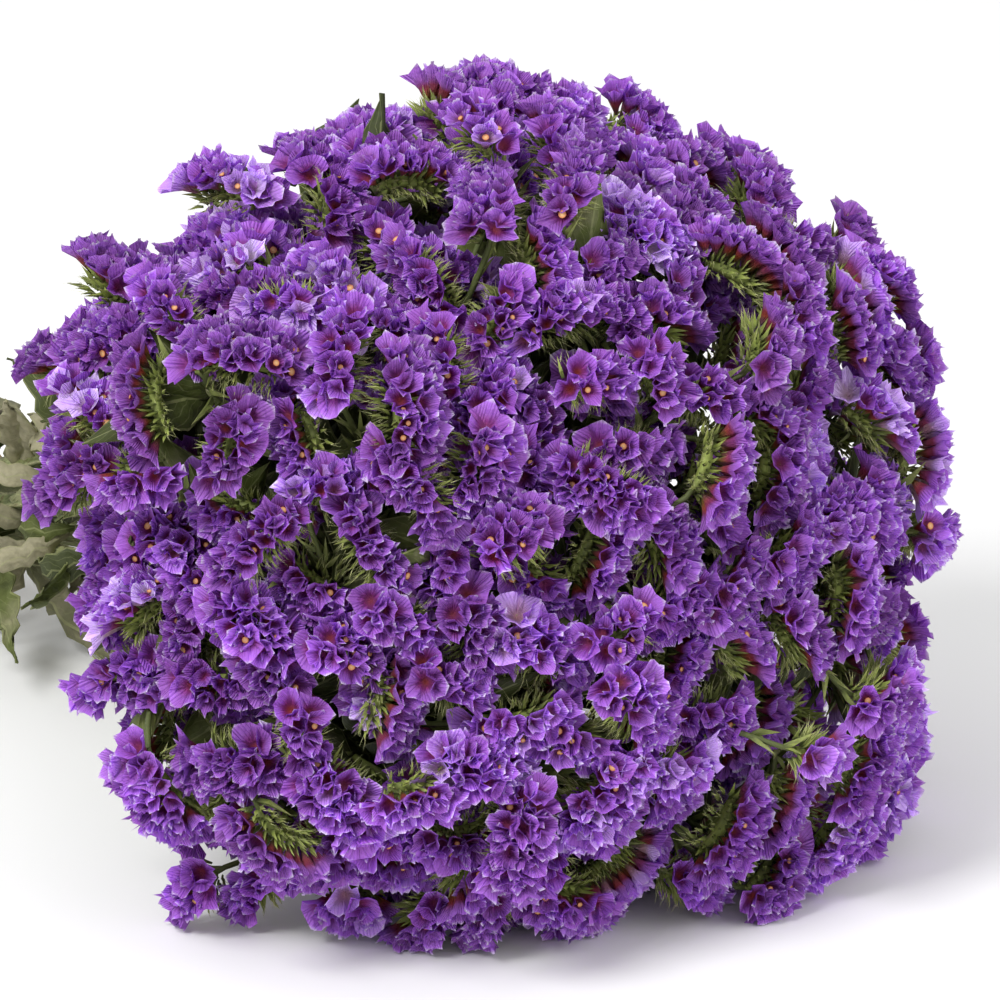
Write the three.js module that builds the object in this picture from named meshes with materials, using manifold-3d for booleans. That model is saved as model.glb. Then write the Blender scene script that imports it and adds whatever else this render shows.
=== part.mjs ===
// A tied bunch of dried statice (Limonium sinuatum), lying on its side on a flat surface.
// Eleven winged stems run from their cut ends through a twine tie and fan out into a domed head.
// Each stem forks near its top into four or five twigs. A twig ends in a spiny green bract cup, and the cup
// carries one dense cluster of papery violet calyces.
// Units are millimetres. +Z is up, +X runs along the bunch from the cut ends to the flowers, and the
// origin is the bottom centre of the bunch's bounding box.
import * as THREE from 'three';
import { mergeVertices } from 'three/addons/utils/BufferGeometryUtils.js';
import Module from 'manifold-3d';

const DEGREE = Math.PI / 180;

// The whole bunch
const TAIL_LENGTH = 330; // from the middle of the head back to the cut ends
const HEAD_FRONT = 112; // the head's reach forwards from its middle
const HEAD_BACK = 86; // and backwards, over the stems
const HEAD_HALF_WIDTH = 137;
const HEAD_HALF_HEIGHT = 137;
const HEAD_MIDDLE_HEIGHT = 123; // above the surface, a little less than the half height: the head sags
const FAN_DEPTH = 72; // the clusters face away from a point this far behind the head's middle
const CUT_SINK = 0.5; // how far the lowest cut end is pressed flat against the surface

// Where the stems run. Each row is one stem: its spray's angle from the bunch's axis, and its turn
// about that axis from +Y towards the top, in degrees.
const SPRAYS = [
  { polar: 32, turn: 68 },
  { polar: 34, turn: 156 },
  { polar: 31, turn: 251 },
  { polar: 33, turn: 337 },
  { polar: 78, turn: 8 },
  { polar: 76, turn: 62 },
  { polar: 79, turn: 114 },
  { polar: 77, turn: 163 },
  { polar: 80, turn: 212 },
  { polar: 76, turn: 263 },
  { polar: 78, turn: 317 },
];
const INNER_STEMS = 4; // the first rows run through the middle of the tie

// How far the head's rim reaches, as a share of its ellipse, at equal turns from +Y
const RIM_REACH = [1.2, 1.2, 0.94, 1.05, 0.86, 1.12, 1, 1.1, 1.14, 1.06, 1.34, 1.26];

// Flower clusters
const INNER_CLUSTERS = 5; // on each of the first stems
const OUTER_CLUSTERS = 4; // and on each of the others
const CLUSTER_SPREAD = 15; // degrees between a spray's middle and its clusters, before they settle
const CLUSTER_PITCH = 58; // how far apart neighbouring clusters settle
const SETTLING_STEPS = 80;
const LARGEST_POLAR = 99;
const SWELL = 0.1; // how unevenly the clusters stand out, as a share of the head's size
const FACING_WANDER = 0.3;
const CLUSTER_REACH = 28.5; // from the bract cup to the calyx mouths, all round
const CLUSTER_SINK = 2.5; // how far the lowest clusters are pressed flat against the surface
const CLUSTER_STRETCH = [1.12, 0.92]; // along its longer side and across it
const CORE_RADIUS = 13;
const CORE_HEIGHT = 8;
const RING_CALYCES = 6; // round the middle one
const CALYX_SIDES = 5;
const CALYX_LENGTH = 22.5;
const CALYX_MOUTH = 11.4;
const CALYX_DISH = 8;
const CALYX_FAN = 60; // degrees by which the ring's calyces lean out
const CALYX_ROOT = 7; // how far out in the core they start
const RUFFLE = 3.2; // how unevenly the rim stands
const GAP = 0.35; // between separate pieces

// Green parts
const CUP_HEIGHT = 15;
const CUP_RADIUS = 18;
const CUP_POINTS = 3;
const TWIG_ROOT = 2.1;
const TWIG_TIP = 1.5;
const WING_REACH = 4.1; // stem axis to the edge of its wings
const STEM_RADIUS = 2; // stem axis to the valleys between the wings
const STEM_STEPS = 7;
const FORK_SHARE = 0.56; // of the way from the fan point to the middle of the stem's clusters
const BOW_BACK = 60; // a stem bows towards its place in the tie, carried on to this far behind the fan point
const BOW_SHARE = 0.25;
const TWIG_SINK = 5; // how far back in the stem its twigs start
const LEAF_LENGTH = 56;
const LEAF_WIDTH = 14;
const LEAF_THICKNESS = 0.9;
const LEAF_PLACES = [0.42, 0.62]; // shares of the stem's length from its cut end
const LEAF_SLIP = 0.05; // by which those shares differ from stem to stem

// The tie
const TIE_BACK = 290; // behind the head's middle
const TIE_INNER_RADIUS = 20.2;
const TWINE = 2.6;
const TIE_TURNS = 3;
const TIE_SIDES = 14;
const TWINE_END_BACK = 16; // from the knot to the twine's two ends
const TWINE_END_SIDE = 24;
const INNER_RING = 5.7; // where the stems pass the tie, round its middle
const OUTER_RING = 14.9;
const TAIL_FLARE = 1.35; // how much wider those rings are at the cut ends

const wasm = await Module();
wasm.setup();

const V = (x, y, z) => new THREE.Vector3(x, y, z);

// The bunch's own axes: ahead towards the flowers, side along +Y, and rise square to both. The bunch
// slopes so that its cut ends reach the surface.
const TAIL_HEIGHT = OUTER_RING * TAIL_FLARE + STEM_RADIUS - CUT_SINK;
const SLOPE = Math.asin((HEAD_MIDDLE_HEIGHT - TAIL_HEIGHT) / TAIL_LENGTH);
const AHEAD = V(Math.cos(SLOPE), 0, Math.sin(SLOPE));
const SIDE = V(0, 1, 0);
const RISE = V(-Math.sin(SLOPE), 0, Math.cos(SLOPE));
const HEAD_MIDDLE = V(0, 0, HEAD_MIDDLE_HEIGHT);

// A point given along the bunch, to its side and up across it, from the head's middle.
function inBunch(ahead, side, rise) {
  return HEAD_MIDDLE.clone()
    .addScaledVector(AHEAD, ahead)
    .addScaledVector(SIDE, side)
    .addScaledVector(RISE, rise);
}

// A repeatable stream of numbers from 0 to 1.
function seeded(seed) {
  let state = (seed * 7919 + 104729) % 2147483647;
  return () => {
    state = (state * 16807) % 2147483647;
    return state / 2147483647;
  };
}

// Layout

// The unit direction at a polar angle and turn: x ahead, y to the side, z up.
function direction(polar, turn) {
  return V(
    Math.cos(polar),
    Math.sin(polar) * Math.cos(turn),
    Math.sin(polar) * Math.sin(turn),
  );
}

// Directions about each spray's middle, one for each of its clusters.
function startDirections() {
  const found = [];
  SPRAYS.forEach(({ polar, turn }, stem) => {
    const middle = direction(polar * DEGREE, turn * DEGREE);
    const across = V(0, -middle.z, middle.y).normalize();
    const along = across.clone().cross(middle);
    const count = stem < INNER_STEMS ? INNER_CLUSTERS : OUTER_CLUSTERS;
    for (let k = 0; k < count; k += 1) {
      const angle = ((k + 0.5) / count) * 2 * Math.PI;
      const away = across.clone().multiplyScalar(Math.cos(angle)).addScaledVector(along, Math.sin(angle));
      const spread = Math.tan(CLUSTER_SPREAD * DEGREE);
      found.push({ stem, letter: 'abcde'[k], d: middle.clone().addScaledVector(away, spread).normalize() });
    }
  });
  return found;
}

// The head's half lengths in a direction from its middle.
function headSize(d) {
  return V(d.x > 0 ? HEAD_FRONT : HEAD_BACK, HEAD_HALF_WIDTH, HEAD_HALF_HEIGHT);
}

// Pushes the directions apart until the clusters stand evenly over the head.
function settle(places) {
  const furthest = LARGEST_POLAR * DEGREE;
  for (let step = 0; step < SETTLING_STEPS; step += 1) {
    for (const a of places) {
      const own = a.d.clone().multiply(headSize(a.d));
      const push = V(0, 0, 0);
      for (const b of places) {
        const apart = own.clone().sub(b.d.clone().multiply(headSize(b.d)));
        const distance = apart.length();
        const close = b !== a && distance < CLUSTER_PITCH;
        if (close) push.addScaledVector(apart, (CLUSTER_PITCH - distance) / distance / 4);
      }
      a.d.copy(own.add(push).divide(headSize(a.d)).normalize());
      const polar = Math.acos(a.d.x);
      if (polar > furthest) a.d.copy(direction(furthest, Math.atan2(a.d.z, a.d.y)));
    }
  }
  return places;
}

// RIM_REACH at any turn, smooth between its values.
function rimReach(turn) {
  const n = RIM_REACH.length;
  const at = ((turn / (2 * Math.PI)) * n + n) % n;
  const low = Math.floor(at) % n;
  const share = at - Math.floor(at);
  const ease = share * share * (3 - 2 * share);
  return RIM_REACH[low] * (1 - ease) + RIM_REACH[(low + 1) % n] * ease;
}

// Each cluster's base, the way it faces, and the way its longer side runs.
function clusterPlaces() {
  const random = seeded(11);
  return settle(startDirections()).map(({ stem, letter, d }) => {
    const swell = 1 + SWELL * (random() - 0.5);
    const reach = rimReach(Math.atan2(d.z, d.y)) * swell;
    const size = headSize(d);
    const ahead = d.x * size.x * (swell + (reach - swell) * (1 - d.x * d.x));
    const outer = inBunch(ahead, d.y * size.y * reach, d.z * size.z * reach);
    const fan = inBunch(-FAN_DEPTH, 0, 0);
    const base = outer.clone().addScaledVector(outer.clone().sub(fan).normalize(), -CLUSTER_REACH);
    const lowest = d.z < 0 ? CLUSTER_REACH - CLUSTER_SINK : 0;
    base.z = Math.max(base.z, lowest);
    const wander = V(random() - 0.5, random() - 0.5, random() - 0.5);
    const facing = base.clone().sub(fan).normalize().addScaledVector(wander, FACING_WANDER).normalize();
    const turn = random() * 2 * Math.PI;
    const helper = Math.abs(facing.x) < 0.9 ? V(1, 0, 0) : V(0, 1, 0);
    const first = helper.cross(facing).normalize();
    const second = facing.clone().cross(first);
    const long = first.multiplyScalar(Math.cos(turn)).addScaledVector(second, Math.sin(turn));
    return { stem, letter, base, facing, long };
  });
}

const CLUSTERS = clusterPlaces();

// Where each stem is cut, passes the tie, bows outwards and forks.
function stemRoute(stem) {
  const { turn } = SPRAYS[stem];
  const ring = stem < INNER_STEMS ? INNER_RING : OUTER_RING;
  const side = ring * Math.cos(turn * DEGREE);
  const rise = ring * Math.sin(turn * DEGREE);
  const own = CLUSTERS.filter((c) => c.stem === stem);
  const middle = own.reduce((sum, c) => sum.add(c.base), V(0, 0, 0)).divideScalar(own.length);
  const fork = inBunch(-FAN_DEPTH, 0, 0).lerp(middle, FORK_SHARE);
  const tie = inBunch(-TIE_BACK, side, rise);
  const carried = inBunch(-FAN_DEPTH - BOW_BACK, side, rise);
  const bow = tie.clone().lerp(fork, 0.5).lerp(carried, BOW_SHARE);
  const cut = inBunch(-TAIL_LENGTH, side * TAIL_FLARE, rise * TAIL_FLARE);
  return new THREE.CatmullRomCurve3([cut, tie, bow, fork]);
}

const STEMS = SPRAYS.map((_, stem) => stemRoute(stem));

// The line of a cluster's twig, from inside its stem's tip to inside its bract cup.
function twigLine({ stem, base, facing }) {
  const root = STEMS[stem].getPoint(1).addScaledVector(STEMS[stem].getTangent(1), -TWIG_SINK);
  return new THREE.Line3(root, base.clone().addScaledVector(facing, -CUP_HEIGHT * 0.7));
}

// Solids

// A closed three.js geometry as a manifold-3d solid, with an optional placing matrix.
function solidOf(geometry, matrix) {
  const bare = geometry.index ? geometry.toNonIndexed() : geometry.clone();
  const plain = new THREE.BufferGeometry().setAttribute('position', bare.getAttribute('position'));
  if (matrix) plain.applyMatrix4(matrix);
  const merged = mergeVertices(plain, 1e-3);
  const faces = [];
  for (let i = 0; i < merged.index.count; i += 3) {
    const [a, b, c] = [0, 1, 2].map((k) => merged.index.getX(i + k));
    if (a !== b && b !== c && a !== c) faces.push(a, b, c);
  }
  return new wasm.Manifold(
    new wasm.Mesh({
      numProp: 3,
      vertProperties: new Float32Array(merged.attributes.position.array),
      triVerts: new Uint32Array(faces),
    }),
  );
}

function geometryOf(solid) {
  const mesh = solid.getMesh();
  return new THREE.BufferGeometry()
    .setAttribute('position', new THREE.BufferAttribute(mesh.vertProperties, 3))
    .setIndex(new THREE.BufferAttribute(mesh.triVerts, 1));
}

// The largest of a solid's separate bodies.
function mainBody(solid) {
  return solid.decompose().reduce((best, body) => (body.volume() > best.volume() ? body : best));
}

// Places +Z along a direction, at a point, with a turn about it.
function placing(point, along, turn = 0) {
  const lean = new THREE.Quaternion().setFromUnitVectors(V(0, 0, 1), along.clone().normalize());
  const spin = new THREE.Quaternion().setFromAxisAngle(V(0, 0, 1), turn);
  return new THREE.Matrix4().compose(point, lean.multiply(spin), V(1, 1, 1));
}

// A solid of revolution about +Z, from radius and height pairs.
function turned(profile, sides) {
  const points = profile.map(([radius, height]) => new THREE.Vector2(radius, height));
  return new THREE.LatheGeometry(points, sides).rotateX(Math.PI / 2);
}

// Moves each corner of a geometry once, however many faces share it.
function reshaped(geometry, move) {
  const bare = geometry.index ? geometry.toNonIndexed() : geometry;
  const plain = new THREE.BufferGeometry().setAttribute('position', bare.getAttribute('position'));
  const merged = mergeVertices(plain, 1e-3);
  const position = merged.getAttribute('position');
  const corner = V(0, 0, 0);
  for (let i = 0; i < position.count; i += 1) {
    corner.fromBufferAttribute(position, i);
    move(corner, i);
    position.setXYZ(i, corner.x, corner.y, corner.z);
  }
  return merged;
}

// One calyx: a funnel with its point at the origin and an uneven, dished mouth along +Z.
function calyx(random) {
  const profile = [[0, 0], [CALYX_MOUTH, CALYX_LENGTH], [0, CALYX_LENGTH - CALYX_DISH]];
  return reshaped(turned(profile, CALYX_SIDES), (corner) => {
    if (Math.hypot(corner.x, corner.y) < 1) return;
    const flare = 0.8 + 0.35 * random();
    corner.x *= flare;
    corner.y *= flare;
    corner.z += RUFFLE * (random() - 0.5);
  });
}

// The violet cluster: calyces that fan out of a low core. Its cup is below z = 0.
function clusterSolid(index) {
  const random = seeded(100 + index);
  const stretch = new THREE.Matrix4().makeScale(...CLUSTER_STRETCH, 1);
  const core = turned([[0, 0], [CORE_RADIUS, 3], [0, CORE_HEIGHT]], 6);
  const parts = [solidOf(core, stretch)];
  for (let k = 0; k <= RING_CALYCES; k += 1) {
    const out = k === 0 ? 0.12 : 0.9 + 0.2 * random();
    const around = ((k + 0.4 * random()) / RING_CALYCES) * 2 * Math.PI;
    const lean = CALYX_FAN * out * DEGREE;
    const aim = V(Math.sin(lean) * Math.cos(around), Math.sin(lean) * Math.sin(around), Math.cos(lean));
    const from = CALYX_ROOT * out;
    const root = V(from * Math.cos(around), from * Math.sin(around), CORE_HEIGHT / 2 - 1.5 * out);
    root.applyMatrix4(stretch);
    parts.push(solidOf(calyx(random), placing(root, aim, random() * 2)));
  }
  return wasm.Manifold.union(parts);
}

// A cluster's own frame: +Z the way it faces, +X along its longer side.
function clusterFrame({ base, facing, long }) {
  const across = facing.clone().cross(long);
  return new THREE.Matrix4().makeBasis(long, across, facing).setPosition(base);
}

// Cuts a solid, given in its own frame, back to its side of the planes midway to the other clusters
// and of the surface that the bunch lies on.
function keptClear(solid, cluster, frame) {
  const inverse = frame.clone().invert();
  const middle = cluster.base.clone().addScaledVector(cluster.facing, CLUSTER_REACH / 2);
  const planes = [new THREE.Plane(V(0, 0, 1), 0)];
  for (const other of CLUSTERS) {
    const theirs = other.base.clone().addScaledVector(other.facing, CLUSTER_REACH / 2);
    const away = middle.clone().sub(theirs);
    if (other === cluster || away.length() > 3.5 * CLUSTER_REACH) continue; // out of reach of each other
    const point = middle.clone().lerp(theirs, 0.5).addScaledVector(away.clone().normalize(), GAP / 2);
    planes.push(new THREE.Plane().setFromNormalAndCoplanarPoint(away.normalize(), point));
  }
  return planes.reduce((kept, plane) => {
    const own = plane.clone().applyMatrix4(inverse);
    return kept.trimByPlane([own.normal.x, own.normal.y, own.normal.z], -own.constant);
  }, solid);
}

// Cuts a way through a cluster, given in its own frame, for each of the other clusters' twigs.
function clearOfTwigs(solid, cluster, frame) {
  const middle = cluster.base.clone().addScaledVector(cluster.facing, CLUSTER_REACH / 2);
  const inverse = frame.clone().invert();
  return CLUSTERS.filter((other) => other !== cluster).reduce((kept, other) => {
    const line = twigLine(other);
    const closest = line.closestPointToPoint(middle, true, V(0, 0, 0));
    if (closest.distanceTo(middle) > 2 * CLUSTER_REACH) return kept;
    return kept.subtract(twig(line, 3 * GAP).transform(inverse.elements));
  }, solid);
}

// A spiny bract cup under a cluster, in the cluster's frame.
function cup(random) {
  const profile = [[0, -CUP_HEIGHT], [CUP_RADIUS, -GAP], [0, -GAP]];
  return reshaped(turned(profile, 2 * CUP_POINTS), (corner) => {
    const radius = Math.hypot(corner.x, corner.y);
    if (radius < 1) return;
    const turn = Math.round((Math.atan2(corner.y, corner.x) / Math.PI) * CUP_POINTS);
    const reach = turn % 2 === 0 ? 0.95 + 0.2 * random() : 0.66;
    corner.x *= reach;
    corner.y *= reach;
    corner.z -= turn % 2 === 0 ? 4 * random() : 0;
  });
}

// A straight, tapering twig on a line, with room for more all round it where that is asked.
function twig(line, room = 0) {
  const radii = [TWIG_TIP + room, TWIG_ROOT + room];
  const rod = new THREE.CylinderGeometry(...radii, line.distance(), 3).rotateX(Math.PI / 2);
  return solidOf(rod, placing(line.at(0.5, V(0, 0, 0)), line.delta(V(0, 0, 0))));
}

// The stem's section, with three wings.
function stemShape() {
  const shape = new THREE.Shape();
  for (let k = 0; k < 6; k += 1) {
    const radius = k % 2 === 0 ? WING_REACH : STEM_RADIUS;
    const at = [radius * Math.cos((k * Math.PI) / 3), radius * Math.sin((k * Math.PI) / 3)];
    if (k === 0) shape.moveTo(...at);
    else shape.lineTo(...at);
  }
  return shape.closePath();
}

// A lance-shaped leaf with a toothed edge, rooted at the origin, that grows along +Z and curls.
function leaf(random) {
  const shape = new THREE.Shape();
  const half = [[-1, 0.2], [0.3, 0.4], [0.46, 0.5], [0.76, 0.33]];
  half.forEach(([along, out], k) => {
    const at = [out * LEAF_WIDTH, along < 0 ? 0 : along * LEAF_LENGTH];
    if (k === 0) shape.moveTo(...at);
    else shape.lineTo(...at);
  });
  shape.lineTo(0, LEAF_LENGTH);
  [...half].reverse().forEach(([along, out]) => {
    shape.lineTo(-out * LEAF_WIDTH, along < 0 ? 0 : (along + 0.04) * LEAF_LENGTH);
  });
  const flat = new THREE.ExtrudeGeometry(shape.closePath(), { depth: LEAF_THICKNESS, bevelEnabled: false });
  const curl = 0.35 + 0.5 * random();
  const fold = 0.25 + 0.2 * random();
  return reshaped(flat, (corner) => {
    const along = corner.y / LEAF_LENGTH;
    const arch = fold * Math.abs(corner.x) + curl * along * along * LEAF_LENGTH * 0.5;
    corner.set(-corner.x, corner.z + arch - LEAF_THICKNESS / 2, corner.y);
  });
}

// A leaf rooted on a stem, growing outwards and ahead.
function placedLeaf(root, random) {
  const axis = inBunch(root.clone().sub(HEAD_MIDDLE).dot(AHEAD), 0, 0);
  const outward = root.clone().sub(axis).normalize();
  const way = outward.multiplyScalar(0.6 + 0.4 * random()).addScaledVector(AHEAD, 0.7);
  const turn = Math.atan2(way.z, way.y) + Math.PI / 2 + 0.6 * (random() - 0.5);
  return solidOf(leaf(random), placing(root, way, turn));
}

// One stem with its twigs, bract cups and leaves, as a single green solid.
function stemSolid(stem) {
  const random = seeded(40 + stem);
  const path = STEMS[stem];
  const rod = new THREE.ExtrudeGeometry(stemShape(), { steps: STEM_STEPS, extrudePath: path });
  const parts = [solidOf(rod)];
  for (const cluster of CLUSTERS.filter((c) => c.stem === stem)) {
    const frame = clusterFrame(cluster);
    parts.push(keptClear(solidOf(cup(random)), cluster, frame).transform(frame.elements));
    parts.push(twig(twigLine(cluster)));
  }
  const places = stem < INNER_STEMS ? [] : LEAF_PLACES;
  places.forEach((share) => parts.push(placedLeaf(path.getPoint(share + LEAF_SLIP * random()), random)));
  return mainBody(wasm.Manifold.union(parts).trimByPlane([0, 0, 1], 0));
}

// The twine: turns side by side round the stems, and a knot on top.
function tieSolid() {
  const profile = [];
  const half = (TIE_TURNS * TWINE) / 2;
  for (let k = 0; k < TIE_TURNS; k += 1) {
    const start = -half + k * TWINE;
    profile.push([TIE_INNER_RADIUS + TWINE * 0.4, start], [TIE_INNER_RADIUS + TWINE, start + TWINE / 2]);
  }
  profile.push([TIE_INNER_RADIUS + TWINE * 0.4, half], [TIE_INNER_RADIUS, half - 0.5]);
  profile.push([TIE_INNER_RADIUS, -half + 0.5], profile[0]);
  const frame = placing(inBunch(-TIE_BACK, 0, 0), AHEAD);
  const knotAt = inBunch(-TIE_BACK, 0, TIE_INNER_RADIUS + TWINE);
  const knot = new THREE.IcosahedronGeometry(TWINE * 1.35);
  const parts = [solidOf(turned(profile, TIE_SIDES), frame), solidOf(knot, placing(knotAt, AHEAD))];
  for (const sideways of [-1, 1]) {
    const end = inBunch(-TIE_BACK - TWINE_END_BACK, sideways * TWINE_END_SIDE, TIE_INNER_RADIUS + 1);
    parts.push(twig(new THREE.Line3(knotAt, end)));
  }
  return mainBody(wasm.Manifold.union(parts));
}

// Materials
const CALYX_VIOLET = new THREE.MeshStandardMaterial({ color: 0x6a3fb5, roughness: 0.75, metalness: 0 });
const STEM_GREEN = new THREE.MeshStandardMaterial({ color: 0x55652f, roughness: 0.85, metalness: 0 });
const TWINE_TAN = new THREE.MeshStandardMaterial({ color: 0xb59a6a, roughness: 0.9, metalness: 0 });

function meshOf(name, solid, material) {
  const mesh = new THREE.Mesh(geometryOf(solid), material);
  mesh.name = name;
  return mesh;
}

const bunch = new THREE.Group();
SPRAYS.forEach((_, stem) => {
  const label = String(stem + 1).padStart(2, '0');
  bunch.add(meshOf(`stem_${label}`, stemSolid(stem), STEM_GREEN));
});
CLUSTERS.forEach((cluster, index) => {
  const frame = clusterFrame(cluster);
  const cleared = clearOfTwigs(keptClear(clusterSolid(index), cluster, frame), cluster, frame);
  const solid = mainBody(cleared);
  const stem = String(cluster.stem + 1).padStart(2, '0');
  const mesh = meshOf(`flowers_${stem}${cluster.letter}`, solid, CALYX_VIOLET);
  mesh.applyMatrix4(frame);
  bunch.add(mesh);
});
bunch.add(meshOf('twine_tie', tieSolid(), TWINE_TAN));

// The bunch stands on its origin.
const extent = new THREE.Box3().setFromObject(bunch, true);
const middle = extent.getCenter(V(0, 0, 0));
bunch.position.set(-middle.x, -middle.y, 0);

export default bunch;
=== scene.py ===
"""A tied bunch of dried statice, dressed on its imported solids.

Eleven winged stems run through a twine tie and fork into twigs. Each twig carries about seven curved
combs of papery violet calyces, which stand in rows of hairy green bracts. Lengths are metres.
"""

import math

import bmesh
import bpy
import numpy as np
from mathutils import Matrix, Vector


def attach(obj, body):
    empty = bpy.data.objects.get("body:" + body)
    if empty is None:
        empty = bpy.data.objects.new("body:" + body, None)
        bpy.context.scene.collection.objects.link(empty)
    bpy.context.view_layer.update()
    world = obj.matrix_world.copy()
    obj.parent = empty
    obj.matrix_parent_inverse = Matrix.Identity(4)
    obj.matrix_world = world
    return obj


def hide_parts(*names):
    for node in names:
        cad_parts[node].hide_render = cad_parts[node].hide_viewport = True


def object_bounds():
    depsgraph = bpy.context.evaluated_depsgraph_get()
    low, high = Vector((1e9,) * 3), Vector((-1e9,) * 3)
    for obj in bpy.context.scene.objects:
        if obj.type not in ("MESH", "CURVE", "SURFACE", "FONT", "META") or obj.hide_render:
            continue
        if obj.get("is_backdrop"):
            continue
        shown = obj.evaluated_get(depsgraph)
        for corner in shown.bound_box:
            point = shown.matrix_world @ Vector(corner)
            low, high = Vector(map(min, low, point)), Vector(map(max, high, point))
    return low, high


bl_info = {
    "name": "Dried Statice Bunch",
    "version": (1, 0, 0),
    "blender": (4, 5, 0),
    "location": "View3D > Sidebar > Statice",
    "description": "Models a tied bunch of dried statice with violet calyces",
    "category": "Add Mesh",
}

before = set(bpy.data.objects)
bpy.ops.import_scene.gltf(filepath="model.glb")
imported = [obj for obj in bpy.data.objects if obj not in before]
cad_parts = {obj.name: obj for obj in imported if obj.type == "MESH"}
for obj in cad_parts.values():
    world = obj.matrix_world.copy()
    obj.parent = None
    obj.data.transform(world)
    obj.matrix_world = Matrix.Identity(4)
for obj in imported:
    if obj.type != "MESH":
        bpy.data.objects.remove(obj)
CAD_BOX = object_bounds()

DEGREE = math.pi / 180

# The bunch, as its solids have it
HEAD_MIDDLE = np.array([0.098413, -0.011646, 0.123])
TAIL_LENGTH = 0.330
HEAD_FRONT = 0.112
HEAD_BACK = 0.086
HEAD_HALF_WIDTH = 0.137
HEAD_HALF_HEIGHT = 0.137
FAN_DEPTH = 0.072
SPRAYS = [
    (32, 68),
    (34, 156),
    (31, 251),
    (33, 337),
    (78, 8),
    (76, 62),
    (79, 114),
    (77, 163),
    (80, 212),
    (76, 263),
    (78, 317),
]
INNER_STEMS = 4
RIM_REACH = [1.2, 1.2, 0.94, 1.05, 0.86, 1.12, 1, 1.1, 1.14, 1.06, 1.34, 1.26]
INNER_CLUSTERS = 5
OUTER_CLUSTERS = 4
CLUSTER_SPREAD = 15
CLUSTER_PITCH = 0.058
SETTLING_STEPS = 80
LARGEST_POLAR = 99
SWELL = 0.1
FACING_WANDER = 0.3
CLUSTER_REACH = 0.0285
CLUSTER_SINK = 0.0025
CUP_HEIGHT = 0.015
CUP_DRAWS = 6  # random values that each bract cup takes before the leaves get theirs
STEM_RADIUS = 0.002
WING_REACH = 0.0041
CUT_SINK = 0.0005
FORK_SHARE = 0.56
BOW_BACK = 0.060
BOW_SHARE = 0.25
TWIG_SINK = 0.005
LEAF_LENGTH = 0.056
LEAF_WIDTH = 0.014
LEAF_PLACES = (0.42, 0.62)
LEAF_SLIP = 0.05
TIE_BACK = 0.290
TIE_INNER_RADIUS = 0.0202
TWINE = 0.0026
TIE_TURNS = 3
TWINE_END_BACK = 0.016
TWINE_END_SIDE = 0.024
INNER_RING = 0.0057
OUTER_RING = 0.0149
TAIL_FLARE = 1.35

TAIL_HEIGHT = OUTER_RING * TAIL_FLARE + STEM_RADIUS - CUT_SINK
SLOPE = math.asin((HEAD_MIDDLE[2] - TAIL_HEIGHT) / TAIL_LENGTH)
AHEAD = np.array([math.cos(SLOPE), 0, math.sin(SLOPE)])
SIDE = np.array([0.0, 1.0, 0.0])
RISE = np.array([-math.sin(SLOPE), 0, math.cos(SLOPE)])


# ---------------------------------------------------------------- sizes and colours


class StaticeSizes(bpy.types.PropertyGroup):
    """The sizes of the calyces, combs and bracts"""

    calyx_length: bpy.props.FloatProperty(
        name="Calyx Length",
        description="From the root of a calyx to its mouth",
        default=0.012,
        unit="LENGTH",
    )
    calyx_mouth: bpy.props.FloatProperty(
        name="Calyx Mouth",
        description="Radius of the ruffled mouth",
        default=0.0060,
        unit="LENGTH",
    )
    pleat: bpy.props.FloatProperty(
        name="Pleat",
        description="How far every other point of the rim folds back",
        default=0.0018,
        unit="LENGTH",
    )
    ruffle: bpy.props.FloatProperty(
        name="Ruffle",
        description="How far the points of the rim stray",
        default=0.0018,
        unit="LENGTH",
    )
    row_gap: bpy.props.FloatProperty(
        name="Row Gap",
        description="Between the rows of a comb, at their roots",
        default=0.0021,
        unit="LENGTH",
    )
    row_fan: bpy.props.FloatProperty(
        name="Row Fan",
        description="Angle between neighbouring rows",
        default=22 * DEGREE,
        unit="ROTATION",
    )
    bract_length: bpy.props.FloatProperty(
        name="Bract Length",
        description="Length of a green bract",
        default=0.0060,
        unit="LENGTH",
    )
    hair_length: bpy.props.FloatProperty(
        name="Hair Length",
        description="Length of the hairs on the bracts",
        default=0.0036,
        unit="LENGTH",
    )


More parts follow.
